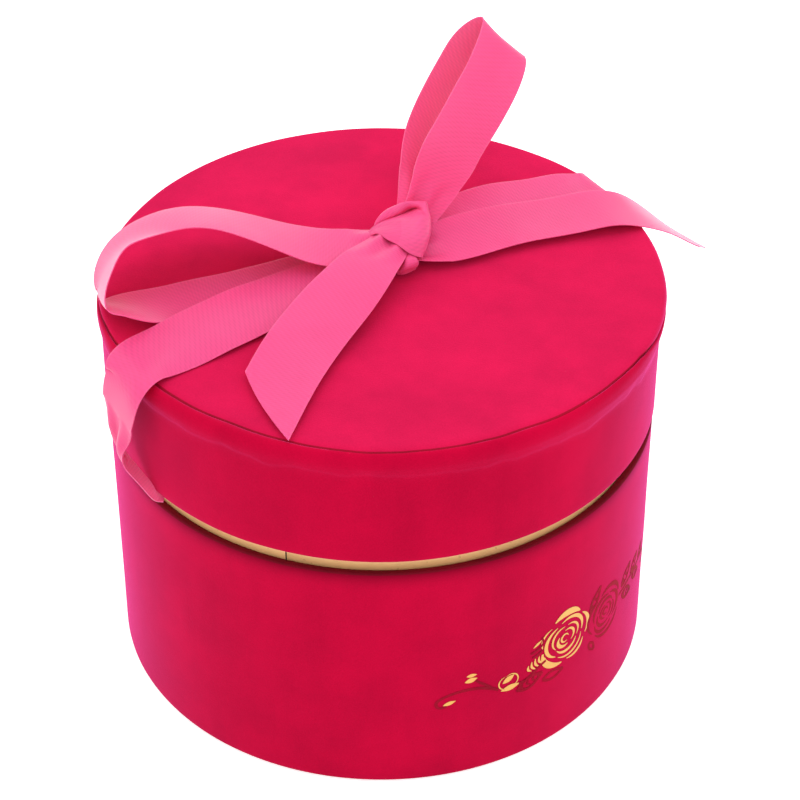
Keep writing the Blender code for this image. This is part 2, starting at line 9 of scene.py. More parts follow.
import bpy
import numpy as np
from bpy.props import FloatProperty, FloatVectorProperty, IntProperty, PointerProperty
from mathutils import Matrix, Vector, noise


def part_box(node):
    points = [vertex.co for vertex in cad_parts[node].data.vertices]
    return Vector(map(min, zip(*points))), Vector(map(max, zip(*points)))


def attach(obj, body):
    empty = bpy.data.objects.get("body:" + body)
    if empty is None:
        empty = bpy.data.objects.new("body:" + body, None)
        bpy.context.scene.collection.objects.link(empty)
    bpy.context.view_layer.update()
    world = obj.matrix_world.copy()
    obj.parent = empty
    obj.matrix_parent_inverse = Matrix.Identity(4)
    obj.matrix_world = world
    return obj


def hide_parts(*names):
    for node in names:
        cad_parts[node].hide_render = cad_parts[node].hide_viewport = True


bl_info = {
    "name": "Velvet Flower Box",
    "version": (1, 0, 0),
    "blender": (4, 5, 0),
    "location": "View3D > Sidebar > Flower Box",
    "description": "Dresses a round velvet flower box with its gold neck and tied ribbon",
    "category": "Add Mesh",
}

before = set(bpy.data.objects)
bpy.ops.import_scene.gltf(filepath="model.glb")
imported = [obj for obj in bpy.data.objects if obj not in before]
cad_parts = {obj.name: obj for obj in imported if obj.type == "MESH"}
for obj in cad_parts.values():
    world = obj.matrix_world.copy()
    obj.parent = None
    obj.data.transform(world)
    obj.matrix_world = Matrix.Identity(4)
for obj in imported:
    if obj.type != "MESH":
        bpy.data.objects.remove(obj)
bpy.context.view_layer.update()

MM = 0.001

# Stock and clearances
VELVET = 0.4 * MM
GLUE_GAP = 0.3 * MM
CARD = 0.3 * MM

# Radii and heights read from the frame
BODY_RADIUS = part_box("body_velvet_wrap")[1].x
BODY_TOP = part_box("body_velvet_wrap")[1].z
BODY_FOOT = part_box("body_velvet_wrap")[0].z
CARD_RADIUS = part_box("neck_gold_card")[1].x
CARD_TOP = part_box("neck_gold_card")[1].z
CARD_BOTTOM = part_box("neck_gold_card")[0].z
CARD_INNER_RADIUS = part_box("inner_wall_lining")[1].x - CARD
LID_TUBE_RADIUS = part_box("lid_wall_board")[1].x
LID_LINING_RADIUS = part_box("lid_wall_lining")[1].x
LID_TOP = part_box("lid_top_velvet")[1].z
LID_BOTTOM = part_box("lid_side_velvet")[0].z
LID_HEIGHT = LID_TOP - LID_BOTTOM
FOAM_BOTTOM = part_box("lid_foam_pad")[0].z
LID_RADIUS = LID_TUBE_RADIUS + GLUE_GAP + VELVET
LID_TUBE_INNER = LID_LINING_RADIUS + GLUE_GAP
BODY_TUBE_INNER = CARD_RADIUS + GLUE_GAP

FRONT = math.radians(-90)

# Gold card: the row of its section just over the ledge, and how light its cut edge is
LEDGE_ROW = 2.0 * MM
CARD_EDGE_LIGHTNESS = 0.10

# Stage; the sensor's width is in millimetres
FLOOR_SIZE = 6.0
FLOOR_GAP = 0.2 * MM
LAMP_AIM = Vector((0.0, 0.0, 0.1))
SENSOR_WIDTH = 36.0
CAMERA_NEAREST = 0.01


# Settings


def colour_setting(name, description, value):
    """A colour setting."""
    return FloatVectorProperty(name=name, description=description, subtype="COLOR", size=3,
                               min=0, max=1, default=value)


def length_setting(name, description, value):
    """A length setting in metres."""
    return FloatProperty(name=name, description=description, unit="LENGTH", default=value)


def angle_setting(name, description, value):
    """An angle setting."""
    return FloatProperty(name=name, description=description, subtype="ANGLE", default=value)


def strength_setting(name, description, value):
    """A lamp's power in watts, or the strength of the room's light."""
    return FloatProperty(name=name, description=description, min=0, default=value)


class FlowerBoxColours(bpy.types.PropertyGroup):
    """Colours of the cloth, the card and the paper."""

    velvet: colour_setting("Velvet", "Velvet seen straight on", (0.545, 0.0015, 0.035))
    # Painted light: a lighter, pinker copy of the side velvet, standing in for more sheen and
    # overhead light on the lid's top rather than for a nap that lies another way
    velvet_top: colour_setting("Top velvet", "The lid's top, whose nap lies towards the back",
                       (0.635, 0.0075, 0.065))
    velvet_nap: colour_setting("Velvet nap", "Tint of the light caught by the tips of the pile",
                       (1.0, 0.13, 0.50))
    satin: colour_setting("Ribbon", "Satin ribbon", (0.90, 0.073, 0.235))
    satin_shine: colour_setting("Ribbon shine", "Tint of the shine on the ribbon", (1.0, 0.45, 0.68))
    gold: colour_setting("Gold", "Gold card of the neck", (1.0, 0.60, 0.26))
    foil: colour_setting("Foil", "Gold foil of the stamped garland", (0.66, 0.40, 0.115))
    paper: colour_setting("Lining", "Lining paper", (0.82, 0.79, 0.74))
    board: colour_setting("Board", "Raw board", (0.36, 0.31, 0.25))
    foam: colour_setting("Foam", "Padding of the lid", (0.80, 0.80, 0.78))


class FlowerBoxSizes(bpy.types.PropertyGroup):
    """Sizes of the cloth and of the ornament."""

    around: IntProperty(name="Facets", description="Facets round the box", min=60, max=480,
                        default=240)
    crown_drop: length_setting("Crown", "How far the padded top falls towards its rim", 0.15 * MM)
    velvet_ripple: length_setting("Ripple", "Unevenness of the glued velvet", 0.16 * MM)
    ribbon_width: length_setting("Ribbon width", "Width of the satin ribbon", 25.0 * MM)
    ribbon_thickness: length_setting("Ribbon thickness", "Thickness of the satin ribbon", 0.35 * MM)
    card_joint: angle_setting("Card joint", "Where round the neck the gold card's ends meet",
                      math.radians(-109.4))
    rose_height: length_setting("Ornament height", "Height of the garland's middle on the body",
                        45.0 * MM)


class FlowerBoxStage(bpy.types.PropertyGroup):
    """Camera and lamps."""

    camera_place: FloatVectorProperty(
        name="Camera", description="Where the camera stands",
        subtype="TRANSLATION", size=3, default=(0.0067, -0.7455, 0.6800))
    camera_pitch: angle_setting("Pitch", "How far the camera looks down", 0.6646)
    lens: FloatProperty(
        name="Lens", description="Focal length on a 36 mm sensor", min=10, max=300,
        default=117.57)
    overhead_lamp: strength_setting("Overhead lamp", "Power of the overhead lamp in watts", 3.7)
    front_lamp: strength_setting("Front lamp", "Power of the front lamp in watts", 1.4)
    left_lamp: strength_setting("Left lamp", "Power of the left lamp in watts", 1.5)
    right_lamp: strength_setting("Right lamp", "Power of the right lamp in watts", 1.3)
    back_lamp: strength_setting("Back lamp", "Power of the back lamp in watts", 0.8)
    ambient: strength_setting("Room light", "Strength of the light from all round", 1.0)


class FlowerBoxSettings(bpy.types.PropertyGroup):
    """All the settings of the box."""

    colours: PointerProperty(type=FlowerBoxColours)
    sizes: PointerProperty(type=FlowerBoxSizes)
    stage: PointerProperty(type=FlowerBoxStage)


# Mesh helpers


def new_object(name, verts, faces):
    """Make an object with a mesh of its own."""
    mesh = bpy.data.meshes.new(name)
    mesh.from_pydata(verts, [], faces)
    mesh.update()
    obj = bpy.data.objects.new(name, mesh)
    bpy.context.scene.collection.objects.link(obj)
    return obj


def mesh_from_grid(name, grid, ring=False, uv=None):
    """Make an object from rows of points; a ring's rows run all the way round.

    A row of one point is a pole. uv, if given, holds one pair for each point of the grid.
    """
    verts = []
    index = []
    for row in grid:
        index.append(range(len(verts), len(verts) + len(row)))
        verts.extend([tuple(p) for p in row])
    columns = max(len(row) for row in grid)
    spans = columns if ring else columns - 1
    faces = []
    for upper, lower in zip(index, index[1:]):
        for i in range(spans):
            k = (i + 1) % columns
            if len(upper) == 1:
                faces.append((upper[0], lower[i], lower[k]))
            elif len(lower) == 1:
                faces.append((upper[i], lower[0], upper[k]))
            else:
                faces.append((upper[i], lower[i], lower[k], upper[k]))
    obj = new_object(name, verts, faces)
    if uv is not None:
        flat = [pair for row in uv for pair in row]
        layer = obj.data.uv_layers.new(name="cloth")
        for loop in obj.data.loops:
            layer.data[loop.index].uv = flat[loop.vertex_index]
    return obj


def make_active(obj):
    """Select one object and nothing else."""
    bpy.ops.object.select_all(action="DESELECT")
    obj.select_set(True)
    bpy.context.view_layer.objects.active = obj


def give_thickness(obj, thickness, offset, even=False):
    """Solidify a sheet; offset -1 grows it inwards and 0 both ways."""
    make_active(obj)
    solid = obj.modifiers.new("thickness", "SOLIDIFY")
    solid.thickness = thickness
    solid.offset = offset
    solid.use_even_offset = even
    bpy.ops.object.modifier_apply(modifier="thickness")


def finish_piece(obj, material, body, stands_for, smooth_angle=40):
    """Shade a finished piece, give it its finish and tie it to the frame."""
    make_active(obj)
    bpy.ops.object.shade_smooth_by_angle(angle=math.radians(smooth_angle))
    obj.data.materials.clear()
    obj.data.materials.append(material)
    if stands_for:
        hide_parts(*stands_for)
    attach(obj, body)


def finish_faces(obj, material, faces):
    """Give some faces of a finished piece a second finish."""
    obj.data.materials.append(material)
    for face in faces:
        face.material_index = 1


def round_axis(radius, angle, height):
    """The point at a radius and angle round the box's axis, at a height."""
    return radius * math.cos(angle), radius * math.sin(angle), height


def ring_angles(count, extra=()):
    """Evenly spaced angles with a few more put in."""
    return sorted([math.tau * i / count - math.pi for i in range(count)] + list(extra))


def turned(name, section_at, angles):
    """Turn a section round the box's axis; the section runs down the outer side."""
    sections = [section_at(angle) for angle in angles]
    grid = []
    for j, (radius, height) in enumerate(sections[0]):
        if radius == 0.0:
            grid.append([(0.0, 0.0, height)])
        else:
            grid.append([round_axis(section[j][0], angle, section[j][1])
                         for angle, section in zip(angles, sections)])
    return mesh_from_grid(name, grid, ring=True)


def rounded_corner(corner, before, after, radius, steps):
    """Points that round one corner of a section."""
    corner = np.array(corner)
    a = np.array(before) - corner
    b = np.array(after) - corner
    start = corner + a / np.linalg.norm(a) * radius
    end = corner + b / np.linalg.norm(b) * radius
    centre = start + end - corner
    points = []
    for k in range(steps + 1):
        turn = 0.5 * math.pi * k / steps
        p = centre + (start - centre) * math.cos(turn) + (end - centre) * math.sin(turn)
        points.append((float(p[0]), float(p[1])))
    return points


def even_points(start, end, count):
    """Points between two ends, without the ends."""
    return [(start[0] + (end[0] - start[0]) * k / (count + 1),
             start[1] + (end[1] - start[1]) * k / (count + 1)) for k in range(1, count + 1)]


def unevenness(place, grain, seed):
    """Smooth noise from -1 to 1 that changes over a length of grain."""
    return noise.noise(Vector(place) / grain + Vector((seed, 2.0 * seed, 3.0 * seed)))


def run_lengths(points):
    """How far along a line each of its points lies."""
    steps = np.linalg.norm(np.diff(points, axis=0), axis=1)
    return np.concatenate(([0.0], np.cumsum(steps)))


# Velvet


CORNER = 0.8 * MM
CORNER_STEPS = 5
FOOT_TURN_IN = 11.8 * MM
RIM_BEAD = 0.5 * MM
RIM_BEAD_WIDTH = 1.3 * MM
# Painted shade on the rim ledge under the lid: how far below the rim top, and how upward its faces
# must face
LEDGE_SHADE_BAND = 1.0 * MM
LEDGE_SHADE_FACING = 0.3
BODY_ROWS = 42
BODY_SEAM = math.radians(100)
SEAM_RIDGE = 0.35 * MM
SEAM_RIDGE_ANGLE = math.radians(1.1)
SEAM_RIDGE_STEPS = 4
SEAM_RIDGE_FALL = 0.3 * SEAM_RIDGE_ANGLE

RIM_LEAST_BULGE = 0.5 * MM
RIM_PUFF = 1.2 * MM
RIM_SOFTNESS = 0.10
RIM_WAVER = 0.2 * MM
RIM_OVER_FRONT = (2.8 * MM, 4.6 * MM)
RIM_OVER_BACK = (1.7 * MM, 2.6 * MM)
RIM_LEAST_DEPTH = 5.0 * MM
RIM_PUFF_DEPTH = 1.0 * MM
RIM_STEPS = 10
CROWN_START = 52.0 * MM
CROWN_RINGS = 12
CROWN_CURVE = 2.2
FLAT_RINGS = 4
SEAM_FLAT_REACH = 9.0 * MM
SEAM_HIGH_ANGLE = math.radians(-120)
SEAM_SHARPNESS = 1.7
# The seam's place round the lid in degrees, and how far it lies from the flat part's edge
SEAM_ANGLES = (-180, -155, -122, -108, -92, -62, -46, -36, -27, -18, -4, 60, 120)
SEAM_PLACES = (13.0, 7.5, 5.2, 5.8, 7.0, 7.0, 8.2, 8.7, 9.8, 13.0, 15.5, 17.0, 16.0)
SEAM_WAVER = 0.22 * MM
SEAM_GROOVE = 1.1 * MM
SEAM_GROOVE_WIDTH = 1.25 * MM
SEAM_GROOVE_CURVE = 1.2
SEAM_GROOVE_FLOOR = 0.4 * MM
# Rows of the top velvet's groove that are painted darker as shade in the seam
SEAM_SHADE_ROWS = 7
SEAM_UNDER = 3.0 * MM
# Distances before the seam where the top velvet's section has a row
SEAM_NEAR = (2.6 * MM, 2.0 * MM, 1.5 * MM, 1.1 * MM, 0.8 * MM, 0.55 * MM, 0.35 * MM,
             0.18 * MM, 0.0)
SEAM_FACE_ROWS = 24
FLAP_DROP = 10.0 * MM
FLAP_SLANT = 3.0 * MM
FLAP_WAVER = 1.8 * MM
FLAP_STEP = 1.9 * MM
FLAP_STEP_MIDDLE = 0.45
FLAP_PROUD = 0.2 * MM
# The rolled edge of the side velvet: distance past the seam and height over the face
LIP = ((0.25 * MM, -1.10 * MM), (0.10 * MM, -0.75 * MM), (0.10 * MM, -0.42 * MM),
       (0.30 * MM, -0.15 * MM), (0.70 * MM, -0.02 * MM), (1.30 * MM, 0.02 * MM))
SEAM_ROWS = 14
SIDE_ROWS = 14
FOAM_RAMP = (10.0 * MM, 7.0 * MM)
FOAM_CHAMFER = 1.0 * MM
# Grain and seed of the unevenness of each stretch of velvet
RIM_SOFT_NOISE = (30.0 * MM, 3.0)
FLAP_NOISE = (8.0 * MM, 4.0)
RIM_NOISE = (18.0 * MM, 5.0)
SEAM_NOISE = (9.0 * MM, 8.0)
SIDE_NOISE = (22.0 * MM, 11.0)
BODY_NOISE = (30.0 * MM, 17.0)


def front_left_share(angle):
    """1 at the front left, where the side velvet is drawn over the rim, and 0 opposite."""
    return (0.5 + 0.5 * math.cos(angle - SEAM_HIGH_ANGLE)) ** SEAM_SHARPNESS


def around_noise(angle, grain, seed):
    """Noise from -1 to 1 that runs round the box and meets itself."""
    return unevenness(round_axis(LID_RADIUS, angle, 0.0), grain, seed)


def flap_bottom(angle):
    """Height of the lower edge of the top velvet, under the side velvet."""
    slant = FLAP_SLANT * math.cos(angle - SEAM_HIGH_ANGLE)
    return LID_TOP - FLAP_DROP + slant + FLAP_WAVER * around_noise(angle, *FLAP_NOISE)


def seam_place(angle):
    """Where the seam lies along the shoulder."""
    place = float(np.interp(math.degrees(angle), SEAM_ANGLES, SEAM_PLACES, period=360)) * MM
    return place + SEAM_WAVER * around_noise(angle, *SEAM_NOISE)


def shoulder(angle, drop):
    """The padded lid's face from near the rim, over it and down to the flap's edge."""
    share = front_left_share(angle)
    soft = 1.0 + RIM_SOFTNESS * around_noise(angle, *RIM_SOFT_NOISE)
    bulge = LID_RADIUS + RIM_LEAST_BULGE + RIM_PUFF * (1.0 - share)
    bulge += RIM_WAVER * around_noise(angle, *RIM_NOISE)
    over, down = [(back + (front - back) * share) * soft
                  for back, front in zip(RIM_OVER_BACK, RIM_OVER_FRONT)]
    edge = LID_TOP - drop
    points = [(LID_RADIUS - SEAM_FLAT_REACH, edge)]
    for k in range(RIM_STEPS + 1):
        turn = 0.5 * math.pi * k / RIM_STEPS
        points.append((bulge - over * (1.0 - math.sin(turn)),
                       edge - down * (1.0 - math.cos(turn))))
    depth = RIM_LEAST_DEPTH + RIM_PUFF_DEPTH * (1.0 - share)
    points.append((bulge, LID_TOP - depth))
    points.append((LID_RADIUS + FLAP_PROUD, flap_bottom(angle)))
    return points


def point_along(points, distance, lift):
    """The point at a distance along a section, moved out along its normal by lift."""
    points = np.array(points)
    lengths = run_lengths(points)
    distance = min(distance, lengths[-1])
    k = min(int(np.searchsorted(lengths, distance, side="right")), len(points) - 1) - 1
    direction = (points[k + 1] - points[k]) / (lengths[k + 1] - lengths[k])
    normal = np.array((-direction[1], direction[0]))
    place = points[k] + direction * (distance - lengths[k]) + normal * lift
    return float(place[0]), float(place[1])


def top_velvet_section(angle, drop):
    """The whole outer face of the top velvet, from the middle of the lid to under the seam."""
    edge = LID_RADIUS - SEAM_FLAT_REACH
    points = [(CROWN_START * k / FLAT_RINGS, LID_TOP) for k in range(FLAT_RINGS + 1)]
    for k in range(1, CROWN_RINGS):
        share = k / CROWN_RINGS
        points.append((CROWN_START + (edge - CROWN_START) * share,
                       LID_TOP - drop * share ** CROWN_CURVE))
    face = shoulder(angle, drop)
    seam = seam_place(angle)
    places = [(seam - SEAM_NEAR[0]) * k / SEAM_FACE_ROWS for k in range(SEAM_FACE_ROWS)]
    places += [seam - near for near in SEAM_NEAR]
    for place in places:
        away = (seam - place) / SEAM_GROOVE_WIDTH
        points.append(point_along(face, place, -SEAM_GROOVE * math.exp(-away ** SEAM_GROOVE_CURVE)))
    for past in (SEAM_GROOVE_FLOOR, SEAM_UNDER):
        points.append(point_along(face, seam + past, -SEAM_GROOVE))
    return points


def side_velvet_section(angle, drop, ripple):
    """The side velvet's outer face, from its rolled edge down to its turned-in lower edge."""
    face = shoulder(angle, drop)
    seam = seam_place(angle)
    points = [point_along(face, seam + past, lift) for past, lift in LIP]
    start = seam + LIP[-1][0]
    reach = run_lengths(face)[-1] - start
    for k in range(1, SEAM_ROWS + 1):
        share = k / SEAM_ROWS
        lift = LIP[-1][1] * (1.0 - share) + GLUE_GAP * share
        points.append(point_along(face, start + reach * share, lift))
    step_bottom = (LID_RADIUS, flap_bottom(angle) - FLAP_STEP)
    edge_outer = (LID_RADIUS, LID_BOTTOM)
    edge_inner = (LID_TUBE_INNER, LID_BOTTOM)
    points.append((LID_RADIUS + FLAP_PROUD, flap_bottom(angle) - FLAP_STEP_MIDDLE * FLAP_STEP))
    points.append(step_bottom)
    points += even_points(step_bottom, (LID_RADIUS, LID_BOTTOM + CORNER), SIDE_ROWS)
    points += rounded_corner(edge_outer, step_bottom, edge_inner, CORNER, CORNER_STEPS)
    points.append(edge_inner)
    return [(r + ripple * unevenness(round_axis(r, angle, z), *SIDE_NOISE), z) for r, z in points]


def body_velvet_section(angle, ripple):
    """The wrap from the inner edge of the rim, down the side, to its turn-in underneath."""
    rim_inner = (BODY_RADIUS - RIM_BEAD_WIDTH, BODY_TOP + RIM_BEAD)
    rim_outer = (BODY_RADIUS, BODY_TOP + RIM_BEAD)
    foot_outer = (BODY_RADIUS, BODY_FOOT)
    foot_inner = (BODY_RADIUS - FOOT_TURN_IN, BODY_FOOT)
    points = [(BODY_TUBE_INNER, BODY_TOP), rim_inner]
    points += rounded_corner(rim_outer, rim_inner, foot_outer, CORNER, CORNER_STEPS)
    points += even_points((BODY_RADIUS, BODY_TOP - CORNER), (BODY_RADIUS, BODY_FOOT + CORNER),
                          BODY_ROWS)
    points += rounded_corner(foot_outer, rim_outer, foot_inner, CORNER, CORNER_STEPS)
    points.append(foot_inner)
    away = math.atan2(math.sin(angle - BODY_SEAM), math.cos(angle - BODY_SEAM))
    ridge = SEAM_RIDGE * math.exp(-(away / SEAM_RIDGE_ANGLE) ** 2)
    if away > 0.0:
        ridge *= math.exp(-away / SEAM_RIDGE_FALL)
    out = []
    for radius, height in points:
        swell = ridge + ripple * unevenness(round_axis(radius, angle, height), *BODY_NOISE)
        if height < BODY_FOOT + 0.5 * CORNER or radius < BODY_RADIUS - CORNER:
            swell = 0.0
        out.append((radius + swell, height))
    return out


# Ribbon routes
# Each station gives x, y and height of the ribbon's middle, how far the ribbon is spread, and
# the heading and tilt, in degrees, of its width. x and y are shares of the lid's radius. A
# height above 0 is a share of that radius, measured from the lid's top to the ribbon's lower
# edge; one below 0 is a share of the lid's height.

STATIONS = {
    "band_left": (
        (0.040, 0.130, 0.030, 0.75, 135, 4), (-0.140, -0.020, 0.024, 0.90, 130, 4),
        (-0.340, -0.150, 0.021, 0.97, 124, 4), (-0.491, -0.266, 0.022, 1.00, 122, 6),
        (-0.632, -0.376, 0.019, 1.00, 123, 6), (-0.748, -0.457, 0.016, 1.00, 124, 2),
        (-0.818, -0.516, 0.014, 1.00, 125, -2), (-0.865, -0.578, -0.035, 1.00, 124, -10),
        (-0.888, -0.590, -0.175, 0.95, 124, -19), (-0.900, -0.590, -0.340, 0.78, 124, -23),
        (-0.908, -0.580, -0.530, 0.58, 116, -30), (-0.900, -0.580, -0.700, 0.44, 90, -32),
        (-0.866, -0.596, -0.815, 0.33, 66, -30), (-0.824, -0.620, -0.905, 0.24, 56, -26),
        (-0.790, -0.638, -0.985, 0.18, 50, -16), (-0.768, -0.640, -1.035, 0.15, 50, -8),
        (-0.752, -0.642, -1.045, 0.12, 50, 0)),
    "band_right": (
        (0.070, 0.170, 0.026, 0.70, 118, 10), (0.180, 0.250, 0.022, 0.90, 118, 10),
        (0.300, 0.330, 0.018, 1.00, 118, 8), (0.430, 0.413, 0.010, 1.00, 118, 8),
        (0.590, 0.485, 0.005, 1.00, 118, 4), (0.720, 0.535, 0.004, 1.00, 121, 2),
        (0.785, 0.558, 0.002, 1.00, 124, 0), (0.812, 0.572, 0.000, 1.00, 125, 0),
        (0.832, 0.585, -0.025, 1.00, 125, 0), (0.838, 0.589, -0.070, 1.00, 125, 0),
        (0.840, 0.590, -0.200, 1.00, 125, 0), (0.835, 0.585, -0.500, 1.00, 125, 0),
        (0.826, 0.579, -0.850, 1.00, 125, 0)),
    "loop_upper": (
        (0.095, 0.215, 0.040, 0.42, 0, -15), (0.130, 0.325, 0.082, 0.60, 10, -34),
        (0.155, 0.450, 0.124, 0.93, 18, -48), (0.208, 0.595, 0.203, 1.00, 21, -51),
        (0.290, 0.725, 0.300, 1.00, 21, -51), (0.369, 0.793, 0.384, 1.00, 20, -50),
        (0.438, 0.785, 0.430, 1.00, 18, -48), (0.424, 0.670, 0.385, 1.00, 15, -45),
        (0.355, 0.550, 0.300, 1.00, 15, -45), (0.238, 0.392, 0.160, 0.98, 15, -46),
        (0.150, 0.292, 0.072, 0.58, 5, -30), (0.100, 0.205, 0.042, 0.42, 0, -15)),
    "loop_left": (
        (0.030, 0.135, 0.066, 0.60, 95, 4), (-0.150, 0.093, 0.064, 0.90, 97, 2),
        (-0.290, 0.094, 0.078, 1.00, 93, -7), (-0.443, 0.093, 0.124, 1.00, 95, -12),
        (-0.600, 0.092, 0.163, 1.00, 97, -16), (-0.740, 0.072, 0.166, 1.00, 101, -17),
        (-0.858, -0.005, 0.152, 1.00, 104, -20), (-0.928, -0.110, 0.127, 1.00, 102, -23),
        (-0.957, -0.210, 0.085, 1.00, 104, -28), (-0.965, -0.250, 0.042, 1.00, 103, -30),
        (-0.955, -0.268, 0.012, 1.00, 100, -29), (-0.920, -0.262, 0.005, 1.00, 96, -24),
        (-0.863, -0.236, 0.007, 0.94, 92, -15), (-0.760, -0.178, 0.007, 0.84, 94, -3),
        (-0.660, -0.134, 0.007, 0.86, 98, 0), (-0.540, -0.108, 0.009, 0.96, 103, 0),
        (-0.304, -0.010, 0.010, 0.98, 108, 0), (-0.010, 0.115, 0.013, 0.95, 114, 0)),
    "tail_front": (
        (0.055, 0.140, 0.090, 0.55, 152, 0), (-0.020, 0.000, 0.090, 0.80, 152, 2),
        (-0.100, -0.150, 0.071, 0.95, 152, 6), (-0.190, -0.310, 0.047, 1.00, 154, 8),
        (-0.265, -0.460, 0.035, 1.00, 157, 7), (-0.318, -0.590, 0.028, 1.00, 159, 4),
        (-0.369, -0.740, 0.022, 1.00, 160, 0), (-0.418, -0.901, 0.018, 1.00, 161, 0)),
    "tail_right": (
        (0.085, 0.118, 0.038, 0.60, 112, 6), (0.217, 0.157, 0.030, 0.82, 114, 8),
        (0.391, 0.252, 0.030, 0.94, 111, 4), (0.569, 0.325, 0.029, 0.97, 109, 0),
        (0.703, 0.366, 0.027, 0.98, 109, -1), (0.830, 0.400, 0.026, 0.99, 107, -2),
        (0.925, 0.430, -0.003, 1.00, 107, -4), (1.022, 0.468, -0.150, 1.00, 107, -12),
        (1.127, 0.503, -0.358, 1.00, 103, -21), (1.254, 0.502, -0.519, 1.00, 98, -28)),
}

TAIL_FRONT_CUT_SHARE = 1.1
TAIL_RIGHT_CUT_SHARE = -0.52
BAND_RIGHT_TUCK_ANGLE = math.radians(35.0)
BAND_LEFT_RIPPLE = 0.6 * MM
BAND_LEFT_CURL = 1.5 * MM
TUCK_BEND = 0.6 * MM
TUCK_TAB = 13.0 * MM
TUCK_STEPS = 3
PLEATS = 2
PLEAT_DEPTH_SHARE = 0.45
PLEAT_MOST_SPREAD = 0.82
PLEAT_LEAST_SPREAD = 0.35
PLEAT_FADE = 0.25
STEPS_PER_STATION = 9
ACROSS = 28
SATIN_CUP = 0.35 * MM
SATIN_RIPPLE = 0.28 * MM
SATIN_CUP_ZERO = 0.4
SATIN_GRAIN = 16.0 * MM
SATIN_GRAIN_ACROSS = 0.8
CURL_FROM = 0.35
CURL_MIDDLE = 0.38
CURL_REACH = 0.16
CUT_BOW = 1.3 * MM
SATIN_SMOOTH_ANGLE = 60


def width_direction(heading, tilt):
    """Unit vector along the ribbon's width, from its heading and tilt in degrees."""
    heading = math.radians(heading)
    tilt = math.radians(tilt)
    return (math.cos(tilt) * math.cos(heading), math.cos(tilt) * math.sin(heading), math.sin(tilt))


def route_rows(route, width):
    """Turn a route's stations into rows of x, y, z, width direction, spread and hug."""
    rows = []
    for x, y, height, spread, heading, tilt in route:
        half_rise = 0.5 * width * spread * abs(math.sin(math.radians(tilt)))
        z = LID_TOP + height * LID_HEIGHT
        if height > 0.0:
            z = LID_TOP + height * LID_RADIUS + half_rise
        across = width_direction(heading, tilt)
        rows.append((x * LID_RADIUS, y * LID_RADIUS, z, *across, spread, 0.0))
    return rows


def pleat_height(spread, width):
    """How far the pleats stand to each side of the middle of a ribbon gathered to a share."""
    gathered = math.sqrt(max(0.0, 1.0 - (spread / PLEAT_MOST_SPREAD) ** 2))
    gathered *= min(1.0, max(0.0, spread - PLEAT_LEAST_SPREAD) / PLEAT_FADE)
    return 0.25 * PLEAT_DEPTH_SHARE * width / PLEATS * gathered


def tuck(angle, thickness):
    """Corners of a band's way in under the lid's lower edge and up inside it."""
    room = GLUE_GAP + 0.5 * thickness
    outside = LID_RADIUS + room
    under = LID_BOTTOM - room
    inside = 0.5 * (CARD_RADIUS + LID_LINING_RADIUS - CARD)
    across = width_direction(math.degrees(angle) + 90.0, 0.0)
    path = [(outside, under + 5.0 * TUCK_BEND), (outside, under + TUCK_BEND),
            (outside - TUCK_BEND, under), (inside + TUCK_BEND, under),
            (inside, under + TUCK_BEND), (inside, under + TUCK_TAB)]
    return [(*round_axis(radius, angle, z), *across, 1.0, 1.0) for radius, z in path]


def smooth_rows(rows, steps):
    """Points of a natural cubic spline through the rows."""
    rows = np.array(rows)
    spans = np.linalg.norm(np.diff(rows[:, :3], axis=0), axis=1)
    count = len(rows)
    matrix = np.eye(count)
    right = np.zeros_like(rows)
    for i in range(1, count - 1):
        matrix[i, i - 1:i + 2] = spans[i - 1], 2.0 * (spans[i - 1] + spans[i]), spans[i]
        slope_after = (rows[i + 1] - rows[i]) / spans[i]
        slope_before = (rows[i] - rows[i - 1]) / spans[i - 1]
        right[i] = 6.0 * (slope_after - slope_before)
    bends = np.linalg.solve(matrix, right)
    points = []
    for i, span in enumerate(spans):
        for k in range(steps):
            b = k / steps
            a = 1.0 - b
            curve = (a ** 3 - a) * bends[i] + (b ** 3 - b) * bends[i + 1]
            points.append(a * rows[i] + b * rows[i + 1] + curve * span ** 2 / 6.0)
    points.append(rows[-1])
    return points


def corner_points(start, corners, steps):
    """Points along the straight runs of a tuck, a little denser than its corners."""
    points = []
    before = start
    for corner in corners:
        corner = np.array(corner)
        for k in range(1, steps + 1):
            points.append(before + (corner - before) * k / steps)
        before = corner
    return points


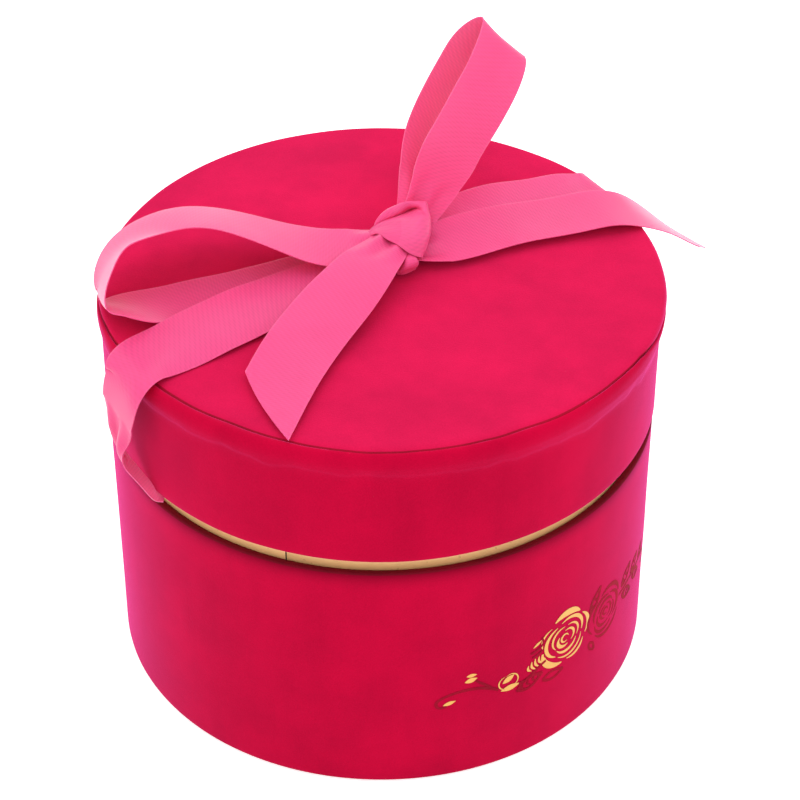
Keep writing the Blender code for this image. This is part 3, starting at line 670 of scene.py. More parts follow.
def ribbon_grid(rows, corners, cut_share, outward, width, seed, ripple, curl):
    """Points and cloth coordinates of one strip of ribbon, and its length."""
    points = smooth_rows(rows, STEPS_PER_STATION)
    points = np.array(points + corner_points(points[-1], corners, TUCK_STEPS))
    outward = np.array((*outward, 0.0))
    tangents = np.gradient(points[:, :3], axis=0)
    lengths = run_lengths(points[:, :3])
    places_across = [2.0 * k / ACROSS - 1.0 for k in range(ACROSS + 1)]
    grid = np.empty((len(points), ACROSS + 1, 3))
    for i, (p, tangent) in enumerate(zip(points, tangents)):
        tangent = tangent / np.linalg.norm(tangent)
        side = p[3:6] - np.dot(p[3:6], tangent) * tangent
        side = side / np.linalg.norm(side)
        normal = np.cross(side, tangent)
        spread = min(p[6], 1.0)
        free = 1.0 - min(max(p[7], 0.0), 1.0)
        away = (i / (len(points) - 1) - CURL_MIDDLE) / CURL_REACH
        for k, u in enumerate(places_across):
            offset = 0.5 * width * spread * u
            wave = pleat_height(spread, width) * math.cos(math.pi * PLEATS * u)
            sagitta = LID_RADIUS - math.sqrt(LID_RADIUS ** 2 - offset ** 2)
            where = (lengths[i], offset * SATIN_GRAIN_ACROSS, 0.0)
            lift = ripple * unevenness(where, SATIN_GRAIN, seed) * free
            lift += SATIN_CUP * (u * u - SATIN_CUP_ZERO) * free * spread
            past = max(0.0, -u - CURL_FROM) / (1.0 - CURL_FROM)
            bend = curl * past ** 2 * math.exp(-away ** 2)
            grid[i, k] = (p[:3] + side * offset - normal * (wave + lift)
                          - outward * sagitta * p[7] - np.array((0.0, 0.0, bend)))
    out = np.empty_like(grid)
    cloth = np.empty((len(points), ACROSS + 1, 2))
    middle = 0.5 * lengths[-1]
    for k, u in enumerate(places_across):
        last = lengths[-1] - 0.5 * width * (abs(cut_share) + cut_share * u)
        last += CUT_BOW * abs(cut_share) * (1.0 - u * u)
        wanted = np.interp(lengths, (0.0, middle, lengths[-1]), (0.0, middle, last))
        for axis in range(3):
            out[:, k, axis] = np.interp(wanted, lengths, grid[:, k, axis])
        cloth[:, k, 0] = 0.5 * width * u
        cloth[:, k, 1] = wanted
    return out, cloth, lengths[-1]


def ribbon_strip(name, material, sizes, held, seed, rests_on=("lid_top_velvet",), corners=(),
                 cut_share=0.0, outward=(0.0, 0.0), ripple=SATIN_RIPPLE, curl=0.0):
    """Make one strip of ribbon in place of the frame's plain one."""
    width = sizes.ribbon_width
    rows = route_rows(STATIONS[name], width)
    grid, cloth, length = ribbon_grid(rows, corners, cut_share, outward, width, seed,
                                      ripple, curl)
    obj = mesh_from_grid("satin_" + name, grid, uv=cloth)
    give_thickness(obj, sizes.ribbon_thickness, 0)
    finish_piece(obj, material, "lid", ["ribbon_" + name], SATIN_SMOOTH_ANGLE)


# Knot

KNOT_CENTRE = Vector((6.3 * MM, 16.2 * MM, LID_TOP + 5.6 * MM))
KNOT_HALF = (9.6 * MM, 7.4 * MM, 5.0 * MM)
KNOT_HEADING = math.radians(-50)
KNOT_SQUARENESS = 0.8
KNOT_RIDGES = 5
KNOT_RIDGE_SHARE = 0.05
KNOT_RIDGE_SWAY = 0.7
KNOT_TURNS = 96
KNOT_RINGS = 64
KNOT_CLOTH = (22.0 * MM, 48.0 * MM)
KNOT_WRAP_LENGTH = 38.0 * MM
KNOT_FOLD_FLAT = (11.0 * MM, 10.5 * MM)
# The wrap's columns from its left tip, in mm from the middle of the lid's top. Each runs from
# the lip that turns back, through the slit behind the lip, to the fan's lower left edge.
KNOT_WRAP = (
    ((-5.6, 17.2, 6.6), (-5.4, 16.6, 7.2), (-5.3, 16.3, 7.2), (-5.2, 16.1, 7.1),
     (-5.2, 15.9, 7.2), (-5.1, 15.7, 7.2), (-5.1, 15.5, 7.1), (-5.0, 15.3, 6.9)),
    ((-2.6, 21.4, 6.2), (-2.1, 20.2, 8.6), (-1.8, 20.7, 8.5), (-1.5, 21.4, 8.2),
     (-1.2, 21.0, 8.6), (-0.9, 18.2, 9.1), (-0.9, 15.7, 9.4), (-1.2, 13.9, 9.3)),
    ((0.0, 25.6, 7.6), (0.2, 23.3, 10.8), (1.3, 21.9, 9.8), (1.9, 23.3, 8.8),
     (2.5, 21.8, 10.0), (2.8, 16.5, 10.9), (2.6, 12.6, 11.0), (1.7, 9.6, 10.2)),
    ((2.4, 27.0, 8.6), (2.6, 24.4, 12.4), (3.9, 22.2, 11.2), (4.8, 24.7, 9.2),
     (5.5, 20.9, 11.4), (5.8, 14.6, 12.2), (5.6, 9.9, 11.8), (4.5, 6.9, 10.3)),
    ((5.6, 27.6, 9.6), (5.7, 24.9, 13.6), (6.5, 23.6, 12.4), (7.7, 26.0, 9.8),
     (8.6, 20.4, 12.4), (9.0, 13.1, 13.2), (9.0, 7.7, 12.3), (7.5, 4.0, 10.0)),
    ((9.0, 28.2, 10.4), (9.0, 25.6, 14.4), (9.4, 25.1, 13.4), (10.5, 27.2, 10.8),
     (11.2, 20.5, 13.1), (11.8, 11.9, 13.8), (11.7, 5.5, 12.3), (10.0, 2.0, 9.2)),
    ((12.4, 27.8, 11.4), (12.2, 25.1, 15.0), (12.4, 24.4, 14.3), (12.9, 25.0, 12.8),
     (13.3, 20.8, 13.9), (14.3, 12.2, 13.6), (13.8, 5.8, 11.6), (12.1, 1.7, 8.3)),
    ((15.8, 27.8, 12.4), (15.4, 25.3, 15.0), (15.7, 23.6, 14.6), (16.1, 21.1, 14.2),
     (16.5, 18.6, 13.6), (17.0, 13.9, 11.9), (16.0, 7.8, 9.9), (13.9, 2.5, 7.2)),
    ((16.6, 28.8, 11.4), (16.2, 27.1, 13.4), (16.5, 25.6, 12.9), (16.8, 23.6, 12.3),
     (17.3, 21.5, 11.4), (17.5, 17.3, 9.6), (16.5, 10.8, 7.6), (14.3, 4.8, 5.2)),
)
# The small fold that shows under the wrap's lower end, in columns as above
KNOT_FOLD = (
    ((8.3, 3.9, 7.0), (7.7, 1.1, 6.6), (6.8, 0.3, 4.6), (5.9, 0.4, 2.6), (5.8, 0.4, 1.4)),
    ((10.0, 3.7, 7.9), (9.6, -0.1, 8.0), (8.8, -2.1, 6.4), (7.7, -1.3, 3.8), (7.7, 0.1, 1.6)),
    ((11.8, 3.0, 7.6), (11.5, -0.5, 7.6), (10.7, -1.6, 6.3), (10.0, -0.4, 3.8),
     (9.8, 1.0, 1.8)),
    ((13.0, 2.2, 6.0), (13.1, 1.2, 5.4), (12.8, 1.3, 4.4), (12.2, 2.0, 3.0), (12.0, 2.8, 1.8)),
)
KNOT_SHEET_STEPS = 5
KNOT_SHEET_STEP_SIZES = (0.7 * MM, 0.8 * MM)


def squared(value):
    """Square off a sine or cosine a little."""
    return math.copysign(abs(value) ** KNOT_SQUARENESS, value)


def knot_point(along, turn):
    """A point of the knot's lump, with ridges where the ribbon is gathered."""
    long_axis = Vector((math.cos(KNOT_HEADING), math.sin(KNOT_HEADING), 0.0))
    cross_axis = Vector((-math.sin(KNOT_HEADING), math.cos(KNOT_HEADING), 0.0))
    sway = KNOT_RIDGE_SWAY * math.sin(turn)
    ridge = 1.0 + KNOT_RIDGE_SHARE * math.cos(2 * KNOT_RIDGES * along + sway)
    ring = squared(math.cos(along)) * ridge
    return (KNOT_CENTRE + long_axis * KNOT_HALF[0] * squared(math.sin(along))
            + cross_axis * KNOT_HALF[1] * ring * squared(math.cos(turn))
            + Vector((0.0, 0.0, KNOT_HALF[2] * ring * squared(math.sin(turn)))))


def smooth_sheet(columns):
    """A grid of points through columns of points in mm, and its cloth coordinates."""
    middle = Vector((0.0, 0.0, LID_TOP))
    across = [smooth_rows([middle + Vector(p) * MM for p in line], KNOT_SHEET_STEPS)
              for line in zip(*columns)]
    grid = [smooth_rows(column, KNOT_SHEET_STEPS) for column in zip(*across)]
    step_across, step_along = KNOT_SHEET_STEP_SIZES
    cloth = [[(step_across * i, step_along * k) for k in range(len(points))]
             for i, points in enumerate(grid)]
    return grid, cloth


# Ornament: strokes list distance round the body and height in millimetres, and width

ROSE_MIDDLE = (71.0, 2.0)
SECOND_ROSE_MIDDLE = (94.0, -0.8)
BUD_MIDDLE = (46.5, -6.0)
# Each petal's radius, first and last angle, width and bow
ROSE_PETALS = (
    (1.5, 20, 300, 0.9, 0.3), (3.3, 150, 290, 1.5, 0.15), (3.5, -40, 95, 1.0, 0.2),
    (5.6, 95, 215, 1.0, 0.12), (5.8, 225, 335, 1.3, 0.1), (5.7, -15, 80, 0.9, 0.15),
    (8.0, 120, 235, 1.6, 0.14), (8.2, 245, 345, 1.0, 0.12), (8.2, -5, 105, 1.5, 0.12),
    (10.9, 190, 262, 2.7, 0.06), (10.6, 275, 330, 1.2, 0.1), (10.9, 340, 400, 1.6, 0.08),
    (11.2, 52, 118, 3.0, 0.05), (10.4, 130, 180, 0.9, 0.12))
BUD_PETALS = ((3.0, -60, 110, 0.55, 0.25), (3.3, 120, 250, 0.55, 0.2))
# The second rose's petals, all with the same bow
SECOND_ROSE_PETALS = (
    (1.4, 0, 300, 0.5), (3.0, 100, 260, 0.55), (3.2, -70, 80, 0.5),
    (5.0, 30, 160, 0.6), (5.2, 170, 290, 0.6), (5.1, -65, 20, 0.5),
    (7.3, 80, 190, 0.7), (7.5, 200, 300, 0.6), (7.4, -50, 70, 0.7),
    (9.7, 20, 110, 0.8), (9.9, 125, 215, 0.6), (9.8, 230, 330, 0.7))
SECOND_ROSE_BOW = 0.12
# Each filled leaf's base, tip and width: two at the bud, then four at the vine's tips
FOIL_LEAVES = (
    ((44.0, -6.0), (48.6, -3.4), 2.5), ((43.4, -9.4), (51.0, -8.6), 2.6),
    ((21.8, -9.6), (26.4, -8.2), 1.7), ((29.6, -0.4), (34.2, 0.6), 2.2),
    ((30.2, 2.2), (34.0, 2.4), 1.6), ((56.2, 5.2), (60.0, 7.4), 1.1))
# The gold leaf that is drawn by its veins: base, tip, reach, number and width
FOIL_VEINS = ((53.2, -4.6), (61.6, -1.2), 0.28, 5, 0.95)
# The vine with its hook, its side shoots, and the second rose's vine
VINES = (
    ((42.5, -8.2, 0.5), (36.0, -5.0, 0.55), (29.0, -4.2, 0.55), (22.5, -5.6, 0.5),
     (19.3, -8.4, 0.5), (20.2, -10.4, 0.45), (23.0, -10.2, 0.4)),
    ((40.6, -7.0, 0.45), (37.0, -3.6, 0.45), (33.6, -0.6, 0.4)),
    ((50.6, -9.0, 0.6), (54.0, -8.4, 0.6), (58.0, -5.6, 0.6), (62.0, -3.6, 0.5)),
    ((55.2, 3.0, 0.4), (58.0, 3.4, 0.5), (60.4, 5.6, 0.4), (59.8, 8.6, 0.3)),
    ((56.0, 0.8, 0.3), (58.4, 1.2, 0.45), (60.8, 2.6, 0.3)),
    ((104.0, -1.0, 0.5), (112.0, -0.4, 0.55), (120.0, -0.6, 0.5), (128.0, -1.2, 0.5),
     (134.0, -3.4, 0.5), (136.6, -6.6, 0.5), (134.0, -8.8, 0.45), (131.4, -7.4, 0.4)))
# Each outlined leaf's base, tip, bulge and line width, then the reach and number of its veins
PRESSED_LEAVES = (
    ((50.0, -12.2), (60.6, -8.4), 0.22, 0.5, 0.12, 4),
    ((61.0, -12.6), (70.4, -12.2), 0.2, 0.5, 0.0, 0),
    ((84.0, 5.0), (89.6, 14.2), 0.16, 0.5, 0.08, 3),
    ((84.2, -9.6), (87.4, -14.6), 0.2, 0.45, 0.0, 0),
    ((106.0, 1.5), (113.6, 7.5), 0.22, 0.5, 0.12, 3),
    ((106.8, -3.0), (115.4, -7.0), 0.22, 0.5, 0.12, 3),
    ((115.0, 1.0), (122.4, 5.4), 0.22, 0.5, 0.12, 3),
    ((117.0, -2.0), (125.2, -5.6), 0.22, 0.5, 0.12, 3),
    ((124.6, 0.6), (131.0, 3.6), 0.22, 0.5, 0.12, 3))
PRESSED_VEIN_WIDTH = 0.4
# Shares along a leaf, with its half width or its line's width there
LEAF_OUTLINE = ((0.0, 0.0), (0.2, 0.7), (0.45, 1.0), (0.75, 0.6), (1.0, 0.0))
LEAF_SWELL = ((0.0, 0.08), (0.25, 0.75), (0.5, 1.0), (0.8, 0.55), (1.0, 0.05))
VEIN_SWELL = ((-1.0, 0.25), (0.0, 1.0), (1.0, 0.25))
VEIN_SLANT = 0.10
VEIN_ENDS = (0.7, 0.4)
VEIN_TAPER = (0.12, 0.8)
PETAL_POINTS = 7
PETAL_TAPER = 0.06
STROKE_STEPS = 6
STROKE_LEAST_WIDTH = 0.08 * MM
FOIL_LIFT = 0.10 * MM
FOIL_THICKNESS = 0.06 * MM
PRESS_LIFT = 0.12 * MM
PRESS_THICKNESS = 0.05 * MM
PRESS_WIDENING = 2.3


def petal(middle, radius, start, end, width, bow):
    """A stroke along part of a circle, widest in its middle."""
    stroke = []
    for k in range(PETAL_POINTS):
        t = k / (PETAL_POINTS - 1)
        angle = math.radians(start + (end - start) * t)
        r = radius * (1.0 + bow * math.sin(math.pi * t))
        swell = math.sin(math.pi * (PETAL_TAPER + (1.0 - 2.0 * PETAL_TAPER) * t))
        stroke.append((middle[0] + r * math.cos(angle), middle[1] + r * math.sin(angle),
                       width * swell))
    return stroke


def leaf_axes(base, tip):
    """A leaf's base, the way to its tip and the way across."""
    base = np.array(base)
    along = np.array(tip) - base
    return base, along, np.array((-along[1], along[0]))


def leaf_sides(base, tip, bulge, width):
    """Two strokes that draw a leaf's outline."""
    base, along, across = leaf_axes(base, tip)
    return [[(*(base + along * share + across * bulge * out * side), width)
             for share, out in LEAF_OUTLINE] for side in (-1.0, 1.0)]


def leaf_fill(base, tip, width):
    """One broad stroke that fills a leaf."""
    base, along, _ = leaf_axes(base, tip)
    return [(*(base + along * share), width * swell) for share, swell in LEAF_SWELL]


def leaf_veins(base, tip, reach, count, width):
    """Slanting strokes across a leaf."""
    base, along, across = leaf_axes(base, tip)
    strokes = []
    for k in range(count):
        share = (k + VEIN_ENDS[0]) / (count + VEIN_ENDS[1])
        half = reach * math.sin(math.pi * (VEIN_TAPER[0] + VEIN_TAPER[1] * share))
        strokes.append([
            (*(base + along * (share + VEIN_SLANT * v * v) + across * half * v), width * swell)
            for v, swell in VEIN_SWELL])
    return strokes


def foil_strokes():
    """Gold parts of the garland."""
    strokes = [petal(ROSE_MIDDLE, *shape) for shape in ROSE_PETALS]
    strokes += [petal(BUD_MIDDLE, *shape) for shape in BUD_PETALS]
    strokes += [leaf_fill(*leaf) for leaf in FOIL_LEAVES]
    return strokes + leaf_veins(*FOIL_VEINS)


def pressed_strokes():
    """Parts of the garland that are pressed into the velvet without foil."""
    strokes = list(VINES)
    for base, tip, bulge, width, reach, veins in PRESSED_LEAVES:
        strokes += leaf_sides(base, tip, bulge, width)
        strokes += leaf_veins(base, tip, reach, veins, PRESSED_VEIN_WIDTH)
    strokes += [petal(SECOND_ROSE_MIDDLE, *shape, SECOND_ROSE_BOW)
                for shape in SECOND_ROSE_PETALS]
    return [[(s, z, PRESS_WIDENING * width) for s, z, width in stroke] for stroke in strokes]


def stroke_mesh(name, strokes, lift, height):
    """Lay strokes on the body's side and join them into one object."""
    verts = []
    faces = []
    for stroke in strokes:
        rows = smooth_rows([(s * MM, z * MM, width * MM) for s, z, width in stroke], STROKE_STEPS)
        rows = np.array(rows)
        tangents = np.gradient(rows[:, :2], axis=0)
        first = len(verts)
        for (s, z, width), tangent in zip(rows, tangents):
            tangent = tangent / np.linalg.norm(tangent)
            across = np.array((-tangent[1], tangent[0])) * 0.5 * max(width, STROKE_LEAST_WIDTH)
            for side in (-1.0, 1.0):
                p = np.array((s, z)) + across * side
                verts.append(round_axis(BODY_RADIUS + lift, FRONT + p[0] / BODY_RADIUS,
                                        height + p[1]))
        for a in range(first, len(verts) - 2, 2):
            faces.append((a, a + 2, a + 3, a + 1))
    obj = new_object(name, verts, faces)
    make_active(obj)
    bpy.ops.object.mode_set(mode="EDIT")
    bpy.ops.mesh.select_all(action="SELECT")
    bpy.ops.mesh.normals_make_consistent(inside=False)
    bpy.ops.object.mode_set(mode="OBJECT")
    outward = [Vector((p.center.x, p.center.y, 0.0)).dot(p.normal) for p in obj.data.polygons]
    if sum(outward) < 0.0:
        obj.data.flip_normals()
    return obj


# Node helpers


def fill(tree, node, **inputs):
    """Fill a node's inputs with values or sockets.

    An underscore stands for a space in a name, and i0, i1 and so on are inputs by number.
    """
    for key, value in inputs.items():
        by_number = key[0] == "i" and key[1:].isdigit()
        socket = node.inputs[int(key[1:]) if by_number else key.replace("_", " ")]
        if isinstance(value, bpy.types.NodeSocket):
            tree.links.new(value, socket)
        else:
            socket.default_value = value


def put(tree, kind, settings=None, **inputs):
    """Add a node, set its fields and fill its inputs."""
    node = tree.nodes.new(kind)
    for field, value in (settings or {}).items():
        setattr(node, field, value)
    fill(tree, node, **inputs)
    return node


def sums(tree, operation, a, b=0.0):
    """A Math node's result."""
    return put(tree, "ShaderNodeMath", {"operation": operation}, i0=a, i1=b).outputs[0]


def weighed(tree, *parts):
    """Sockets times their weights, added up."""
    total = None
    for socket, weight in parts:
        part = sums(tree, "MULTIPLY", socket, weight)
        total = part if total is None else sums(tree, "ADD", total, part)
    return total


def spread_over(tree, value, low, high, to_low=0.0, to_high=1.0):
    """A Map Range node's result."""
    return put(tree, "ShaderNodeMapRange", {"clamp": True}, Value=value, From_Min=low,
               From_Max=high, To_Min=to_low, To_Max=to_high).outputs[0]


def blend_colours(tree, factor, a, b):
    """A Mix node's colour."""
    a, b = [side if isinstance(side, bpy.types.NodeSocket) else (*side, 1.0) for side in (a, b)]
    return put(tree, "ShaderNodeMix", {"data_type": "RGBA"}, i0=factor, i6=a, i7=b).outputs[2]


def object_place(tree):
    """Object coordinates."""
    return put(tree, "ShaderNodeTexCoord").outputs["Object"]


def stretched(tree, place, scale):
    """Coordinates scaled by a Mapping node."""
    return put(tree, "ShaderNodeMapping", None, Vector=place, Scale=scale).outputs[0]


def noise_at(tree, place, scale, detail, roughness=0.5):
    """A Noise Texture's value."""
    return put(tree, "ShaderNodeTexNoise", None, Vector=place, Scale=scale, Detail=detail,
               Roughness=roughness).outputs["Fac"]


def bump_from(tree, height, distance, strength):
    """A Bump node's normal."""
    return put(tree, "ShaderNodeBump", None, Height=height, Distance=distance,
               Strength=strength).outputs[0]


def shades(colour, share):
    """A colour scaled by a share."""
    return tuple(min(1.0, c * share) for c in colour)


def shaded(tree, value, contrast, colour, darkest, lightest):
    """A colour that goes from its darkest to its lightest shade over a stretch of a value."""
    return blend_colours(tree, spread_over(tree, value, *contrast), shades(colour, darkest),
                         shades(colour, lightest))


def new_group(name, inputs, outputs):
    """Start a shader node group; returns its tree, its input sockets and its output node."""
    tree = bpy.data.node_groups.new(name, "ShaderNodeTree")
    for label, value in inputs:
        socket = tree.interface.new_socket(label, in_out="INPUT", socket_type="NodeSocketFloat")
        socket.default_value = value
    for label in outputs:
        tree.interface.new_socket(label, in_out="OUTPUT", socket_type="NodeSocketFloat")
    return tree, tree.nodes.new("NodeGroupInput").outputs, tree.nodes.new("NodeGroupOutput")


def pile_group():
    """Velvet pile: patches where the nap lies differently, soft streaks and single tufts."""
    tree, given, result = new_group(
        "Velvet pile", [("Patch Size", 0.03), ("Tuft Size", 0.0006)], ["Shade", "Height"])
    place = object_place(tree)
    patch_scale = sums(tree, "DIVIDE", 1.0, given["Patch Size"])
    tuft_scale = sums(tree, "DIVIDE", 1.0, given["Tuft Size"])
    patches = noise_at(tree, place, patch_scale, 3.0, 0.55)
    streaks = noise_at(tree, stretched(tree, place, (1.0, 1.0, 0.12)), 130.0, 2.0)
    tufts = noise_at(tree, place, tuft_scale, 2.0, 0.7)
    shade = weighed(tree, (patches, 0.55), (streaks, 0.15), (tufts, 0.30))
    fill(tree, result, Shade=shade, Height=tufts)
    return tree


def weave_group():
    """Ribbed satin: ribs across the ribbon broken into dashes, and a firm selvage."""
    tree, given, result = new_group(
        "Ribbed satin", [("Rib Pitch", 0.0010), ("Dash Pitch", 0.0034), ("Half Width", 0.0125)],
        ["Shade", "Height", "Selvage"])
    cloth = put(tree, "ShaderNodeUVMap", {"uv_map": "cloth"}).outputs[0]
    across, along, _ = put(tree, "ShaderNodeSeparateXYZ", None, Vector=cloth).outputs
    rib_turn, dash_turn = [
        sums(tree, "MULTIPLY", sums(tree, "DIVIDE", place, given[pitch]), math.tau)
        for place, pitch in ((along, "Rib Pitch"), (across, "Dash Pitch"))]
    rib = sums(tree, "SINE", rib_turn)
    dash = sums(tree, "SINE", sums(tree, "ADD", dash_turn, sums(tree, "MULTIPLY", rib_turn, 0.5)))
    height = sums(tree, "ADD", weighed(tree, (rib, 0.26), (dash, 0.24)), 0.5)
    shade = weighed(tree, (height, 0.6), (noise_at(tree, cloth, 140.0, 2.0), 0.4))
    edge = sums(tree, "DIVIDE", sums(tree, "ABSOLUTE", across), given["Half Width"])
    fill(tree, result, Shade=shade, Height=height, Selvage=spread_over(tree, edge, 0.95, 0.975))
    return tree


def fibre_group():
    """Paper and board: short fibres and cloudy variation."""
    tree, given, result = new_group(
        "Paper fibre", [("Fibre Size", 0.0008), ("Cloud Size", 0.02)], ["Shade", "Height"])
    place = object_place(tree)
    fibre_scale = sums(tree, "DIVIDE", 1.0, given["Fibre Size"])
    cloud_scale = sums(tree, "DIVIDE", 1.0, given["Cloud Size"])
    fibres = noise_at(tree, stretched(tree, place, (1.0, 0.35, 1.0)), fibre_scale, 4.0, 0.65)
    clouds = noise_at(tree, place, cloud_scale, 2.0)
    fill(tree, result, Shade=weighed(tree, (fibres, 0.6), (clouds, 0.4)), Height=fibres)
    return tree


GROUPS = {"Velvet pile": pile_group, "Ribbed satin": weave_group, "Paper fibre": fibre_group}


def group_node(tree, name, **inputs):
    """A node that holds the named group, which is made on first use."""
    group = bpy.data.node_groups.get(name) or GROUPS[name]()
    return put(tree, "ShaderNodeGroup", {"node_tree": group}, **inputs).outputs


# Materials; a contrast is the stretch of a pattern's value between two shades

PILE_CONTRAST = (0.38, 0.62)
PRESSED_AND_SHADE_CONTRAST = (0.4, 0.6)
FIBRE_CONTRAST = (0.35, 0.65)
GOLD_CONTRAST = (0.3, 0.7)
# Painted shade on the body's rim ledge under the lid
LEDGE_SHADE_LIGHTNESS = 0.26
# Painted shade in the lid's seam groove
SEAM_SHADE_LIGHTNESS = 0.60
PRESSED_LIGHTNESS = 0.60
# Painted shade on the body's upper side under the lid: its darkest lightness and how far down it
# reaches
RIM_PAINTED_SHADE_LIGHTNESS = 0.40
RIM_SHADE_DEPTH = 8.0 * MM
SELVAGE_TINT = 0.03


def start_material(name):
    """A new material with its tree and its Principled shader."""
    material = bpy.data.materials.new(name)
    material.use_nodes = True
    tree = material.node_tree
    return material, tree, tree.nodes["Principled BSDF"]


def velvet_material(name, settings, base, rim=0.0):
    """Short-pile velvet: a deep ground with a pink sheen on the tips of the pile.

    Given a rim height, the colour darkens towards it over the top few millimetres: painted shade of
    the lid over the body's upper side.
    """
    material, tree, shader = start_material(name)
    pile = group_node(tree, "Velvet pile")
    tinted = shaded(tree, pile["Shade"], PILE_CONTRAST, base, 0.84, 1.06)
    # Painted shade: darker towards the rim height, standing in for the lid's shade
    if rim:
        height = put(tree, "ShaderNodeSeparateXYZ", None, Vector=object_place(tree)).outputs[2]
        near = sums(tree, "POWER", spread_over(tree, height, rim - RIM_SHADE_DEPTH, rim), 2.0)
        tinted = blend_colours(tree, near, tinted, shades(base, RIM_PAINTED_SHADE_LIGHTNESS))
    fill(tree, shader, Base_Color=tinted, Roughness=0.95, Specular_IOR_Level=0.02,
         Sheen_Weight=1.0, Sheen_Roughness=0.36,
         Sheen_Tint=(*settings.colours.velvet_nap, 1.0),
         Normal=bump_from(tree, pile["Height"], 0.12 * MM, 0.6))
    return material


def pressed_and_shade_material(name, settings, lightness):
    """Velvet pressed flat: darker, with hardly any nap. Used for the pressed garland, and as painted
    shade on the body's rim ledge and in the lid's seam groove.
    """
    material, tree, shader = start_material(name)
    pile = group_node(tree, "Velvet pile")
    pressed_and_shade_colour = shaded(tree, pile["Shade"], PRESSED_AND_SHADE_CONTRAST, settings.colours.velvet,
                     0.8 * lightness, 1.2 * lightness)
    fill(tree, shader, Base_Color=pressed_and_shade_colour, Roughness=0.7, Specular_IOR_Level=0.1)
    return material


def satin_material(name, settings):
    """Ribbed satin with a soft shine."""
    material, tree, shader = start_material(name)
    colours = settings.colours
    weave = group_node(tree, "Ribbed satin", Half_Width=0.5 * settings.sizes.ribbon_width)
    woven = blend_colours(tree, weave["Shade"], shades(colours.satin, 0.86),
                          shades(colours.satin, 1.07))
    edged = blend_colours(tree, sums(tree, "MULTIPLY", weave["Selvage"], SELVAGE_TINT), woven,
                          colours.satin_shine)
    shine = (*colours.satin_shine, 1.0)
    fill(tree, shader, Base_Color=edged, Roughness=0.33, Specular_IOR_Level=0.26,
         Specular_Tint=shine, Subsurface_Weight=0.4, Subsurface_Radius=(1.0, 0.9, 0.95),
         Subsurface_Scale=2.4 * MM, Sheen_Weight=0.05, Sheen_Roughness=0.35,
         Sheen_Tint=shine, Normal=bump_from(tree, weave["Height"], 0.03 * MM, 0.8))
    return material


def gold_material(name, colour, roughness, grain, metal):
    """Gold foil laminated on card, faintly uneven."""
    material, tree, shader = start_material(name)
    uneven = noise_at(tree, object_place(tree), 1.0 / grain, 3.0)
    fill(tree, shader, Base_Color=blend_colours(tree, uneven, shades(colour, 0.90), colour),
         Roughness=spread_over(tree, uneven, *GOLD_CONTRAST, roughness - 0.06,
                               roughness + 0.08),
         Metallic=metal, Normal=bump_from(tree, uneven, 0.03 * MM, 0.5))
    return material


def fibre_material(name, colour, roughness, fibre_size, bump):
    """Paper, board or foam."""
    material, tree, shader = start_material(name)
    fibre = group_node(tree, "Paper fibre", Fibre_Size=fibre_size)
    tinted = shaded(tree, fibre["Shade"], FIBRE_CONTRAST, colour, 0.86, 1.0)
    fill(tree, shader, Base_Color=tinted, Roughness=roughness, Specular_IOR_Level=0.2,
         Normal=bump_from(tree, fibre["Height"], bump, 0.6))
    return material


def floor_material(name):
    """White floor that keeps the object's shadow."""
    material, tree, shader = start_material(name)
    rays = put(tree, "ShaderNodeLightPath").outputs
    seen = sums(tree, "MAXIMUM", rays["Is Camera Ray"], rays["Is Glossy Ray"])
    fill(tree, shader, Base_Color=(0.92, 0.92, 0.92, 1.0), Roughness=0.9,
         Specular_IOR_Level=0.1, Emission_Color=(1.0, 1.0, 1.0, 1.0),
         Emission_Strength=sums(tree, "MULTIPLY", seen, 0.6))
    return material


def material_once(name, make, *args, **values):
    """The named material, made on first use."""
    return bpy.data.materials.get(name) or make(name, *args, **values)


def dress_nodes(names, material):
    """Give frame nodes whose shape stays their procedural finish."""
    for name in names:
        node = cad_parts[name]
        node.data.materials.clear()
        node.data.materials.append(material)


# Operators


class FLOWERBOX_OT_boards(bpy.types.Operator):
    """Give the hidden boards, the linings and the underside their finishes"""

    bl_idname = "flowerbox.boards"
    bl_label = "Boards and Linings"

    def execute(self, context):
        colours = context.scene.flower_box.colours
        board = material_once("raw_greyboard", fibre_material, colours.board,
                              roughness=0.9, fibre_size=0.7 * MM, bump=0.08 * MM)
        paper = material_once("lining_paper", fibre_material, colours.paper,
                              roughness=0.65, fibre_size=0.35 * MM, bump=0.03 * MM)
        dress_nodes(["body_board_tube", "body_base_board", "neck_board_tube",
                     "lid_wall_board", "lid_top_board"], board)
        dress_nodes(["base_underside_sheet", "inner_wall_lining", "inner_base_lining",
                     "lid_wall_lining", "lid_top_lining"], paper)
        return {"FINISHED"}


class FLOWERBOX_OT_body_velvet(bpy.types.Operator):
    """Wrap the body in velvet, turned in at the rim and under the foot"""

    bl_idname = "flowerbox.body_velvet"
    bl_label = "Body Velvet"

    def execute(self, context):
        settings = context.scene.flower_box
        sizes = settings.sizes
        seam_angles = [BODY_SEAM + SEAM_RIDGE_ANGLE * k / SEAM_RIDGE_STEPS
                       for k in range(-2 * SEAM_RIDGE_STEPS, 2 * SEAM_RIDGE_STEPS + 1)]
        obj = turned("velvet_body",
                     lambda angle: body_velvet_section(angle, sizes.velvet_ripple),
                     ring_angles(sizes.around, seam_angles))
        give_thickness(obj, VELVET, -1, even=True)
        # The rim height gives the body velvet a painted shade below the lid
        velvet = material_once("velvet_body", velvet_material, settings,
                               settings.colours.velvet, BODY_TOP)
        finish_piece(obj, velvet, "body", ["body_velvet_wrap"])
        # Painted shade: the rim ledge's upward faces under the lid get a dark, nap-less velvet in
        # place of the lid's shadow
        ledge_shade = material_once("crushed_velvet", pressed_and_shade_material, settings, LEDGE_SHADE_LIGHTNESS)
        finish_faces(obj, ledge_shade, [
            face for face in obj.data.polygons
            if face.center.z > BODY_TOP - LEDGE_SHADE_BAND and face.normal.z > LEDGE_SHADE_FACING])
        return {"FINISHED"}


